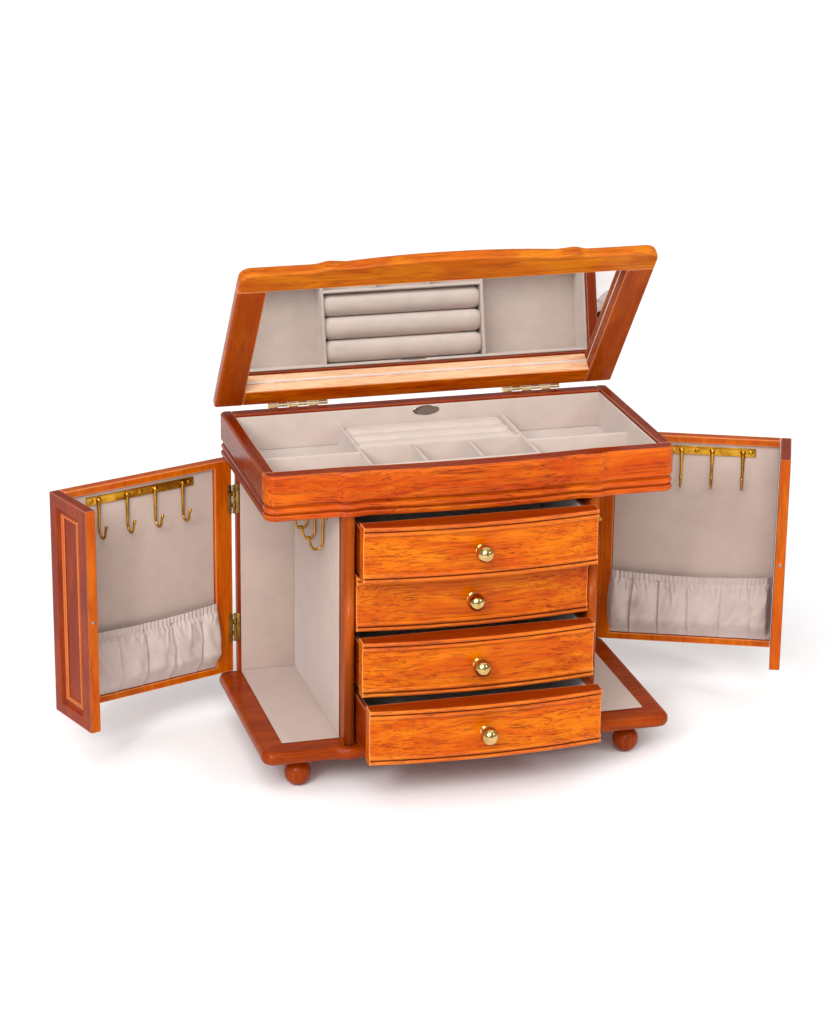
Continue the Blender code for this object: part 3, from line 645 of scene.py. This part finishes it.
def make_rack(node, body, frame_matrix):
    """A stamped bar with four riveted hooks and three screws.

    The matrix takes local X along the bar, Y away from the wall and Z up, from the top edge.
    """
    half = RACK_HALF_LENGTH
    turns = [math.pi * i / 10 for i in range(11)]
    ball = [(TIP_RADIUS * math.sin(turn), -TIP_RADIUS * math.cos(turn)) for turn in turns]
    parts = [rounded_box((-half, 0.0, -RACK_HEIGHT), (half, 1.3, 0.0), 0.5, 2)]
    for k in range(4):
        x = (k - 1.5) * HOOK_PITCH
        path = [(x, 2.3, -1.4), (x, 2.3, -8.0), (x, 2.2, -18.0), (x, 2.1, -31.0)]
        radii, flat = [2.1, 1.9, 1.4, 1.25], [0.5, 0.55, 0.75, 0.95]
        for i in range(1, 13):
            turn = math.pi * i / 12
            path.append((x, 2.1 + 5.6 * (1 - math.cos(turn)), -32.5 - 6.8 * math.sin(turn)))
            radii.append(HOOK_RADIUS)
            flat.append(1.0)
        path += [(x, 14.2, -29.6), (x, 15.0, -27.4)]
        radii += [HOOK_RADIUS, HOOK_RADIUS]
        flat += [1.0, 1.0]
        parts.append(swept(path, radii, flat, (1, 0, 0)))
        parts.append(turned(RIVET, (x, 2.0, -3.9), (0, 1, 0), 24))
        parts.append(turned(ball, (x, 15.2, -27.0), (0, 0.3, 1), 16))
    for x, turn in ((-half + 5.0, 0.4), (0.0, 1.3), (half - 5.0, 2.2)):
        parts.append(screw((x, 1.35, -4.2), (0, 1, 0), 2.1, turn))
    points, faces = placed(join_data(parts), frame_matrix)
    piece(node + "_hooks", points, faces, RACK_BRASS, body, "brass", (node,))


def make_racks():
    for tag, s in SIDES:
        door = tag + "_door"
        for node, body, out in (("wall_rack_" + tag, "case", s), (door + "_rack", door, -s)):
            low, high = closed_box(node, body)
            wall = low.x if out > 0 else high.x
            turn = Matrix(((0, out, 0), (1, 0, 0), (0, 0, 1))).to_4x4()
            at = Matrix.Translation((wall, (low.y + high.y) / 2, high.z))
            make_rack(node, body, at @ turn)


# ------------ hinges


DOOR_HINGE_MIDDLE = {"lower": 60.0, "upper": 189.5}
DOOR_HINGE_LENGTH = 28.4
DOOR_HINGE_KNUCKLES = 5
LID_HINGE_X = 114.6
LID_HINGE_LENGTH = 58.0
LID_HINGE_KNUCKLES = 6


def leaf_parts(plate_low, plate_high, knuckles, pin_radius, axis_point, axis):
    parts = [rounded_box(plate_low, plate_high, 0.35, 2)]
    for start, end, tab_low, tab_high in knuckles:
        parts.append(rounded_box(tab_low, tab_high, 0.2, 1))
        r = pin_radius
        tube = ((r * 0.55, 0.0), (r - 0.2, 0.0), (r, 0.2), (r, end - start - 0.2))
        tube += ((r - 0.2, end - start), (r * 0.55, end - start))
        base = Vector(axis_point) + Vector(axis) * start
        parts.append(turned(tube, base, axis, 24))
    return parts


def make_door_hinges():
    """Butt hinges on the inner faces of the back panel and of each door's hinge stile."""
    half = DOOR_HINGE_LENGTH / 2
    step = DOOR_HINGE_LENGTH / DOOR_HINGE_KNUCKLES
    for tag, s in SIDES:
        axis_x, axis_y, _ = joint_axis(tag + "_door_hinge")
        for level in ("lower", "upper"):
            for owner, mine, width in (("case", 0, 5.2), ("door", 1, 6.6)):
                node = "%s_door_hinge_%s_%s" % (tag, level, owner)
                body = "case" if owner == "case" else tag + "_door"
                if owner == "case":
                    turn = Matrix(((-s, 0, 0), (0, 1, 0), (0, 0, 1)))
                else:
                    turn = Matrix(((0, s, 0), (-1, 0, 0), (0, 0, 1)))
                middle = (axis_x, axis_y, DOOR_HINGE_MIDDLE[level])
                at = Matrix.Translation(middle) @ turn.to_4x4()
                knuckles = []
                for k in range(mine, DOOR_HINGE_KNUCKLES, 2):
                    start = -half + k * step + 0.12
                    end = start + step - 0.24
                    tab = (0.6, 0.0, start + 0.1), (2.6, 0.6, end - 0.1)
                    knuckles.append((start, end, *tab))
                plate = (2.1, -0.1, -half), (width, 0.75, half)
                parts = leaf_parts(*plate, knuckles, 1.5, (0, 0, 0), (0, 0, 1))
                x = (2.1 + width) / 2 + 0.3
                for rise, slot_turn in ((-10.2, 0.3), (0.0, 1.9), (10.2, 1.1)):
                    parts.append(screw((x, 0.8, rise), (0, 1, 0), 1.35, slot_turn))
                points, faces = placed(join_data(parts), at)
                piece(node + "_leaf", points, faces, AGED_BRASS, body, "brass", (node,))


def make_lid_hinges():
    axis = joint_axis("lid_hinge")
    for tag, s in SIDES:
        for owner, mine, up in (("tray", 0, -1), ("lid", 1, 1)):
            node = "lid_hinge_%s_%s" % (tag, owner)
            body = "case" if owner == "tray" else "lid"
            low, _ = closed_box(node, body)
            x = s * LID_HINGE_X
            half = LID_HINGE_LENGTH / 2
            step = LID_HINGE_LENGTH / LID_HINGE_KNUCKLES
            knuckles = []
            for k in range(mine, LID_HINGE_KNUCKLES, 2):
                start = x - half + k * step + 0.3
                end = start + step - 0.6
                rise = sorted((axis.z + up * 0.9, axis.z + up * 3.2))
                tab = (start + 0.1, low.y + 0.2, rise[0]), (end - 0.1, axis.y, rise[1])
                knuckles.append((start, end, *tab))
            rise = sorted((axis.z + up * 2.6, axis.z + up * 10.5))
            plate = (x - half, low.y, rise[0]), (x + half, low.y + 0.8, rise[1])
            parts = leaf_parts(*plate, knuckles, 2.0, (0, axis.y, axis.z), (1, 0, 0))
            for across in (-22.0, 0.0, 22.0):
                at = (x + across, low.y + 0.85, axis.z + up * 7.0)
                parts.append(screw(at, (0, 1, 0), 1.7, across))
            points, faces = join_data(parts)
            piece(node + "_leaf", points, faces, PALE_BRASS, body, "brass", (node,))


# ------------ linings


def panel(name, low, high, material, body, replaced=(), radius=0.7, slot="greige_suede"):
    """A card wrapped in suede."""
    points, faces = rounded_box(low, high, radius)
    return piece(name, points, faces, material, body, slot, replaced)


def make_case_linings():
    for tag, s in SIDES:
        low, high = (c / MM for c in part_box("compartment_lining_" + tag))
        inner, outer = (high.x, low.x) if s < 0 else (low.x, high.x)
        t, name = 1.7, "compartment_%s_" % tag
        floor = (min(inner, outer), low.y, low.z), (max(inner, outer), high.y, low.z + t)
        panel(name + "floor", *floor, LINING, "case", ("compartment_lining_" + tag,))
        wall_x = sorted((inner, inner + s * t))
        wall = (wall_x[0], low.y, low.z + t), (wall_x[1], high.y, high.z)
        panel(name + "wall", *wall, LINING, "case")
        back_x = sorted((inner + s * t, outer))
        back_low = (back_x[0], high.y - t, low.z + t)
        panel(name + "back", back_low, (back_x[1], high.y, high.z), LINING, "case")


def make_door_linings():
    for tag, _ in SIDES:
        door = tag + "_door"
        low, high = closed_box(door + "_lining", door)
        panel(door + "_lining_card", low, high, LINING, door, (door + "_lining",), 0.6)


def make_drawer_linings():
    for number in DRAWERS:
        body = "drawer_%d" % number
        low, high = closed_box(body + "_box", body)
        wall, t, gap = 4.0, 0.9, 0.1
        x0, x1 = low.x + wall, high.x - wall
        y0, y1 = low.y + wall, high.y - wall
        z0, z1 = low.z + 3.5, high.z - 1.2
        panel(body + "_lining_floor", (x0, y0, z0 + gap), (x1, y1, z0 + t), DRAWER_LINING, body)
        sides = (
            ("left", (x0 + gap, y0, z0), (x0 + t, y1, z1)),
            ("right", (x1 - t, y0, z0), (x1 - gap, y1, z1)),
            ("back", (x0, y1 - t, z0), (x1, y1 - gap, z1)),
            ("front", (x0, y0 + gap, z0), (x1, y0 + t, z1)),
        )
        for tag, corner, far in sides:
            panel(body + "_lining_" + tag, corner, far, DRAWER_LINING, body, radius=0.3)


# Tray insert: where the dividers stand, in millimetres from the tray's middle.
LONG_DIVIDER_X = 79.0
SHORT_DIVIDER_X = 26.5
SIDE_CROSS_Y = 0.0
CENTRE_CROSS_Y = (15.0, -40.0)
DIVIDER_T = 3.0
FLOOR_Z = 239.0
DIVIDER_TOP = 259.3
FRONT_BOW = 5.0
INSERT_HALF_W = 114.0
INSERT_FRONT_Y = -84.2
INSERT_WALL_T = 2.0
SHORT_DIVIDER_END = 14.5


def bowed(data):
    """Moves the front of the insert forward with the bow of the tray's front."""
    start, blend = -40.0, 42.0
    moved = []
    for x, y, z in data[0]:
        bow = FRONT_BOW * max(0.0, 1.0 - (x / INSERT_HALF_W) ** 2)
        moved.append((x, y - bow * min(1.0, max(0.0, (start - y) / blend)), z))
    return moved, data[1]


def long_card(low, high, radius, pieces):
    """A rounded strip along X, cut into short lengths so that it can bend."""
    points, faces = rounded_box(low, high, radius)
    work = bmesh.new()
    verts = [work.verts.new(p) for p in points]
    for face in faces:
        work.faces.new([verts[i] for i in face])
    for k in range(1, pieces):
        x = low[0] + (high[0] - low[0]) * k / pieces
        geom = list(work.verts) + list(work.edges) + list(work.faces)
        bmesh.ops.bisect_plane(work, geom=geom, plane_co=(x, 0, 0), plane_no=(1, 0, 0))
    return take_data(work)


def tray_piece(name, data, replaced=()):
    points, faces = bowed(data)
    piece(name, points, faces, TRAY_LINING, "case", "greige_suede", replaced)


def make_insert():
    low, high = (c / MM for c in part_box("tray_insert"))
    x0, x1, y1, top = low.x, high.x, high.y, high.z
    y0 = INSERT_FRONT_Y
    t, wall = DIVIDER_T, INSERT_WALL_T
    base = FLOOR_Z - 1.9
    floor = long_card((x0, y0, base), (x1, y1, FLOOR_Z), 0.5, 24)
    tray_piece("tray_floor_suede", floor, ("tray_insert",))
    front = long_card((x0, y0, FLOOR_Z), (x1, y0 + wall, top), 0.9, 24)
    tray_piece("tray_wall_front", front)
    walls = (
        ("back", (x0, y1 - wall, FLOOR_Z), (x1, y1, top)),
        ("left", (x0, y0, FLOOR_Z), (x0 + wall, y1, top)),
        ("right", (x1 - wall, y0, FLOOR_Z), (x1, y1, top)),
    )
    for tag, corner, far in walls:
        panel("tray_wall_" + tag, corner, far, TRAY_LINING, "case", radius=0.9)
    for tag, s in SIDES:
        x = s * LONG_DIVIDER_X
        data = rounded_box((x - t / 2, y0 + 1.0, base), (x + t / 2, y1 - 1.0, DIVIDER_TOP), 1.3)
        tray_piece("tray_divider_" + tag, data)
        across = sorted((s * (LONG_DIVIDER_X + 0.5), s * (high.x - 1.0)))
        corner = (across[0], SIDE_CROSS_Y - t / 2, base)
        far = (across[1], SIDE_CROSS_Y + t / 2, DIVIDER_TOP - 0.3)
        panel("tray_cross_" + tag, corner, far, TRAY_LINING, "case", radius=1.3)
        x = s * SHORT_DIVIDER_X
        far = (x + t / 2, SHORT_DIVIDER_END, DIVIDER_TOP - 0.4)
        data = rounded_box((x - t / 2, y0 + 1.0, base), far, 1.3)
        tray_piece("tray_short_divider_" + tag, data)
    for tag, y in zip(("back", "front"), CENTRE_CROSS_Y):
        reach = LONG_DIVIDER_X - 0.5
        corner, far = (-reach, y - t / 2, base), (reach, y + t / 2, DIVIDER_TOP - 0.2)
        panel("tray_cross_" + tag, corner, far, TRAY_LINING, "case", radius=1.3)


ROLL_Z = 249.2
ROLL_ABOVE = 9.4
ROLL_BELOW = 8.6


def make_ring_rolls():
    """Three foam rolls in suede, lying side by side so that rings stand in the slots between."""
    low, high = (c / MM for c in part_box("ring_rolls"))
    pitch = (high.y - low.y) / 3
    parts = []
    for k in range(3):
        middle = low.y + pitch * (k + 0.5)
        rings = []
        for i in range(33):
            along = -1.0 + i / 16
            x = along * (high.x - 0.2)
            crown = (1.0 - abs(along) ** 60 * 0.3) * (0.985 + 0.015 * math.cos(along * 2.2))
            ring = []
            for j in range(28):
                turn = 2 * math.pi * j / 28
                y = math.cos(turn)
                z = math.sin(turn)
                wide = math.copysign(abs(y) ** 0.9, y) * (pitch / 2 - 0.1) * (0.4 + 0.6 * crown)
                if z > 0:
                    tall = ROLL_ABOVE * crown * z
                else:
                    tall = ROLL_BELOW * math.copysign(abs(z) ** 0.55, z)
                ring.append((x, middle + wide, ROLL_Z + tall))
            rings.append(ring)
        parts.append(loft(rings))
    points, faces = join_data(parts)
    look = TRAY_LINING, "case", "greige_suede"
    made = piece("ring_rolls_padded", points, faces, *look, ("ring_rolls",), 60.0)


# ------------ gathered pockets


def smoothstep(low, high, value):
    t = min(1.0, max(0.0, (value - low) / (high - low)))
    return t * t * (3 - 2 * t)


POCKET_W = 170.0
POCKET_NECK = 0.875  # how far up the pouch its elastic runs, as a share of the height
PLEAT_PITCH = (29.0, 33.0)
PLEAT_SIZE = (1.9, 2.7)
GATHER_PITCH = (3.4, 6.6)
GATHER_SIZE = (1.2, 2.4)


def pleat_fold(pleats, w, v):
    """How far the pleats move the cloth out, w millimetres along it and v of the way up."""
    fold = 0.0
    edges = [0.0] + [at for at, _, _ in pleats] + [POCKET_W]
    for near, far in zip(edges, edges[1:]):
        if near <= w <= far:
            t = (w - near) / (far - near)
            fold += 3.4 * (1.0 - (2 * t - 1) ** 2) * smoothstep(0.0, 0.3, v)
    for at, size, lean in pleats:
        d = w - at - lean * v * v
        height = size * smoothstep(-0.06, 0.14, v)
        fold += height * math.exp(d / 4.5) if d < 0 else -0.7 * height * math.exp(-d / 2.2)
    return fold


def gather_fold(gathers, w, v):
    """How far the small gathers under the elastic hem move the cloth out."""
    fold = 0.0
    for at, size, reach, lean in gathers:
        down = max(0.0, POCKET_NECK - v) / reach
        fade = max(0.0, 1.0 - down) ** 1.4
        fold += size * fade * math.exp(-(((w - at - lean * down) / (0.8 + 1.9 * down)) ** 2))
    return fold


def make_pocket(tag, s, seed):
    """A pouch with knife pleats up from its bottom seam and an elastic, ruffled hem."""
    door = tag + "_door"
    low, high = closed_box(door + "_pocket", door)
    back_x = high.x if s > 0 else -low.x
    y0, y1 = low.y - 0.2, high.y + 3.0
    z0, hem_z = low.z + 0.3, high.z
    columns, rows = 280, 100
    rng = random.Random(seed)
    width = y1 - y0
    pleats = []
    place = rng.uniform(20.0, 26.0)
    while place < POCKET_W - 14.0:
        pleats.append((place, rng.uniform(*PLEAT_SIZE), rng.uniform(-5.0, 5.0)))
        place += rng.uniform(*PLEAT_PITCH)
    gathers = []
    place = 3.0
    while place < POCKET_W - 2.0:
        long_one = rng.random() < 0.3
        reach = rng.uniform(0.3, 0.55) if long_one else rng.uniform(0.07, 0.2)
        gathers.append((place, rng.uniform(*GATHER_SIZE), reach, rng.uniform(-6.0, 6.0)))
        place += rng.uniform(*GATHER_PITCH)
    points, faces = [], []
    for r in range(rows + 1):
        v = r / rows
        hem = smoothstep(POCKET_NECK, POCKET_NECK + 0.02, v)
        free = 1.0 - hem
        neck = 1.6 * math.exp(-(((v - POCKET_NECK) / 0.014) ** 2))
        belly = 1.4 + 9.4 * smoothstep(0.0, 0.3, v) - 4.6 * smoothstep(0.55, 0.9, v)
        for c in range(columns + 1):
            u = c / columns
            w = u * POCKET_W
            ends = smoothstep(0.0, 0.035, u) * smoothstep(0.0, 0.035, 1.0 - u)
            fold = pleat_fold(pleats, w, v) + gather_fold(gathers, w, v)
            soft = noise.noise(Vector((w * 0.05 + seed, v * 2.4, 0.3)))
            soft *= 2.2 * smoothstep(0.0, 0.25, v)
            crease = noise.noise(Vector((w * 0.14 + v * 4.0, v * 5.0 + seed, 4.0)))
            crease *= 1.1 * smoothstep(0.0, 0.2, v)
            wander = 2.4 * noise.noise(Vector((w * 0.1, seed, 0.0)))
            ruffle = 0.55 * math.sin(w * 1.45 + wander)
            depth = belly + fold * (0.18 * hem + free) - neck
            depth += (soft + crease) * free + ruffle * hem
            depth *= 0.1 + 0.9 * ends
            sag = 3.6 * (1.0 - (2 * u - 1) ** 2) * smoothstep(0.2, 1.0, v)
            bulge = 1.8 * smoothstep(0.93, 1.0, u) * math.sin(math.pi * min(1.0, v / POCKET_NECK))
            rise = z0 + (hem_z - z0) * v - sag + 0.5 * ruffle * hem
            points.append((s * (back_x - max(0.5, depth)), y0 + u * width + bulge, rise))
    row = columns + 1
    for r in range(rows):
        for c in range(columns):
            a = r * row + c
            faces.append((a, a + 1, a + row + 1, a + row))
    cloth = woven("woven_" + tag, rgb(196, 178, 170), door)
    look = cloth, door, "gathered_satin"
    made = piece(door + "_pocket_cloth", points, faces, *look, (door + "_pocket",), 180.0)
    thick = made.modifiers.new("cloth_thickness", "SOLIDIFY")
    thick.thickness = 0.45 * MM
    thick.offset = 0.0


# ------------ trim


DISC = ((1.9, -0.5), (1.9, 0.2), (1.6, 0.4), (0.0, 0.45))
CATCH_Z = 123.0
STRIKE_Y = -90.4
STUD_X, STUD_Z = 118.0, 212.2


def make_catches(tag, s, low, high):
    """A magnet in the return's edge, its strike on the post, and the stud on the right post."""
    door = tag + "_door"
    edge = high.x if s < 0 else low.x
    points, faces = turned(DISC, (edge, (low.y + high.y) / 2, CATCH_Z), (-s, 0, 0), 28)
    piece(door + "_magnet", points, faces, STEEL, door, "brass")
    post_low, post_high = (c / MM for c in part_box("case_side_" + tag))
    face = post_low.x if s < 0 else post_high.x
    points, faces = turned(DISC, (face, STRIKE_Y, CATCH_Z), (s, 0, 0), 28)
    piece("strike_" + tag, points, faces, STEEL, "case", "brass")
    if s > 0:
        points, faces = turned(DISC, (STUD_X, post_low.y + 0.1, STUD_Z), (0, -1, 0), 28)
        piece("catch_stud", points, faces, RACK_BRASS, "case", "brass")


def make_edging(tag, s, low, high):
    """The thin veneer strip on the closing edge of a return."""
    door = tag + "_door"
    edge = high.x if s < 0 else low.x
    across = sorted((edge, edge - s * 0.3))
    near = (across[0], low.y + 0.5, low.z + 0.6)
    far = (across[1], high.y - 0.5, high.z - 0.6)
    points, faces = rounded_box(near, far, 0.12, 1)
    centre = Vector((edge, (low.y + high.y) / 2, 120.0))
    made = wood("wood_edging_" + tag, "inner", "Z", door, centre, 60 + s, solid=False)
    piece(door + "_return_edging", points, faces, made, door, "dark_oak")


def make_return_trim():
    for tag, s in SIDES:
        low, high = closed_box(tag + "_door_return", tag + "_door")
        make_catches(tag, s, low, high)
        make_edging(tag, s, low, high)
        make_moulding(tag, s, low, high)


def make_mirror_trim():
    """A pale strip on the rail below the mirror, a painted sheen, and the mirror's ground edge."""
    low, high = closed_box("lid_back_rail", "lid")
    near = (low.x + 0.3, low.y - 0.28, low.z + 0.5)
    far = (high.x - 0.3, low.y - 0.02, low.z + 9.3)
    points, faces = rounded_box(near, far, 0.1, 1)
    made = wood("wood_mirror_strip", "painted_sheen", "X", "lid", (0.0, low.y, low.z), 75, solid=False)
    piece("mirror_strip", points, faces, made, "lid", "oak_veneer")
    low, high = closed_box("lid_mirror", "lid")
    width, lower, proud = 0.9, 3.4, 0.25
    front, back = low.z - proud, low.z - 0.02
    strips = (
        ((low.x, high.y - lower, front), (high.x, high.y, back)),
        ((low.x, low.y, front), (high.x, low.y + width, back)),
        ((low.x, low.y + width, front), (low.x + width, high.y - lower, back)),
        ((high.x - width, low.y + width, front), (high.x, high.y - lower, back)),
    )
    points, faces = join_data([rounded_box(*strip, 0.1, 1) for strip in strips])
    piece("mirror_bevel", points, faces, GLASS_EDGE, "lid", "mirror")


# How far the edges of a return lie from its recessed field.
FIELD_OUTER = 17.3
FIELD_INNER = 20.3
FIELD_BELOW = 16.3
FIELD_ABOVE = 16.8


def closed_field(low, high, s):
    """The recessed field of a return: x0, x1, z0, z1, in the door's closed position."""
    near, far = (FIELD_OUTER, FIELD_INNER) if s < 0 else (FIELD_INNER, FIELD_OUTER)
    return low.x + near, high.x - far, low.z + FIELD_BELOW, high.z - FIELD_ABOVE


def make_moulding(tag, s, low, high):
    """A slim mitred bead round the recessed field of a return."""
    door = tag + "_door"
    field = closed_field(low, high, s)
    section = ((0.0, 4.05), (0.0, 2.4), (0.5, 1.9), (1.3, 1.8), (2.1, 2.2), (2.4, 3.0), (2.5, 4.05))
    corners = []
    for inset, depth in section:
        x0, x1 = field[0] + inset, field[1] - inset
        z0, z1 = field[2] + inset, field[3] - inset
        y = low.y + depth
        corners.append([(x0, y, z0), (x1, y, z0), (x1, y, z1), (x0, y, z1)])
    points, faces = [], []
    count = len(section)
    for k in range(4):
        points.extend(ring[k] for ring in corners)
    for k in range(4):
        a, b = k * count, ((k + 1) % 4) * count
        for i in range(count):
            j = (i + 1) % count
            faces.append((a + i, a + j, b + j, b + i))
    centre = ((field[0] + field[1]) / 2, low.y, (field[2] + field[3]) / 2)
    made = wood("wood_moulding_" + tag, "inner", "Z", door, centre, 70 + s, (25.0, 5.0))
    piece(door + "_moulding", points, faces, made, door, "dark_oak", angle=50.0)


PLATE_CENTRE = (5.4, 267.2)
PLATE_HALF = (13.0, 4.9)


def make_plate():
    """A plain oval plate on the back wall of the tray, with nothing on it."""
    _, high = (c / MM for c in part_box("tray_insert"))
    y = high.y - INSERT_WALL_T
    rings = []
    for size, out in ((1.0, -0.2), (1.0, 0.35), (0.94, 0.7), (0.86, 0.55), (0.0, 0.62)):
        ring = []
        for i in range(48):
            turn = 2 * math.pi * i / 48
            wide, tall = (half * max(size, 0.01) for half in PLATE_HALF)
            x = PLATE_CENTRE[0] + wide * math.cos(turn)
            ring.append((x, y - out, PLATE_CENTRE[1] + tall * math.sin(turn)))
        rings.append(ring)
    points, faces = loft(rings)
    piece("tray_plate", points, faces, STEEL, "case", "brass")


# ------------ stage


def make_stage():
    low, _ = cad_box
    floor_z = low.z - 0.0002
    mesh = bpy.data.meshes.new("floor")
    reach = 60.0
    corners = [(x * reach, y * reach, floor_z) for x, y in ((-1, -1), (1, -1), (1, 1), (-1, 1))]
    mesh.from_pydata(corners, [], [(0, 1, 2, 3)])
    floor = bpy.data.objects.new("floor", mesh)
    bpy.context.scene.collection.objects.link(floor)
    made, _, shader, _ = new_material("floor_white", Roughness=0.9)
    shader.inputs["Base Color"].default_value = (0.93, 0.93, 0.93, 1.0)
    shader.inputs["Specular IOR Level"].default_value = 0.0
    mesh.materials.append(made)


def add_light(name, at, target, size, power):
    data = bpy.data.lights.new(name, "AREA")
    data.shape = "RECTANGLE"
    data.size, data.size_y = size
    data.energy = power
    made = bpy.data.objects.new(name, data)
    made.location = at
    made.rotation_euler = (Vector(target) - Vector(at)).to_track_quat("-Z", "Y").to_euler()
    bpy.context.scene.collection.objects.link(made)


def add_sun(name, direction, strength, angle):
    """A distant soft light that shines along the direction and doesn't weaken across the floor."""
    data = bpy.data.lights.new(name, "SUN")
    data.energy = strength
    data.angle = math.radians(angle)
    made = bpy.data.objects.new(name, data)
    made.rotation_euler = Vector(direction).to_track_quat("-Z", "Y").to_euler()
    bpy.context.scene.collection.objects.link(made)


def make_lights():
    world = bpy.data.worlds.new("studio")
    world.use_nodes = True
    world.node_tree.nodes["Background"].inputs["Color"].default_value = (1.0, 1.0, 1.0, 1.0)
    world.node_tree.nodes["Background"].inputs["Strength"].default_value = 0.42
    bpy.context.scene.world = world
    add_sun("key", (0.34, 0.72, -0.64), 2.3, 50.0)
    add_sun("top", (-0.1, -0.15, -1.0), 0.8, 70.0)
    add_light("left_softbox", (-1.5, -1.9, 1.5), (0.0, 0.0, 0.15), (0.3, 0.7), 20.0)
    add_light("right_softbox", (1.6, -1.7, 1.5), (0.0, 0.0, 0.15), (0.3, 0.7), 12.0)


def make_camera():
    azimuth, elevation = math.radians(CAMERA_AZIMUTH), math.radians(CAMERA_ELEVATION)
    roll = math.radians(CAMERA_ROLL)
    across = math.cos(elevation)
    back = Vector((math.sin(azimuth) * across, -math.cos(azimuth) * across, math.sin(elevation)))
    level = Vector((0, 0, 1)).cross(back).normalized()
    over = back.cross(level)
    right = level * math.cos(roll) + over * math.sin(roll)
    up = back.cross(right)
    data = bpy.data.cameras.new("camera")
    data.lens = CAMERA_LENS
    data.clip_start, data.clip_end = 0.05, 200.0
    made = bpy.data.objects.new("camera", data)
    place = Matrix((right, up, back)).transposed().to_4x4()
    place.translation = Vector(CAMERA_TARGET) + back * CAMERA_DISTANCE
    made.matrix_world = place
    bpy.context.scene.collection.objects.link(made)
    bpy.context.scene.camera = made
    bpy.context.scene.view_settings.view_transform = "Standard"


make_camera()
make_lights()
make_stage()
finish_wood()
make_feet()
make_knobs()
make_racks()
make_door_hinges()
make_lid_hinges()
make_case_linings()
make_door_linings()
make_drawer_linings()
make_insert()
make_ring_rolls()
make_pocket("left", -1, 3)
make_pocket("right", 1, 8)
make_return_trim()
make_mirror_trim()
make_plate()
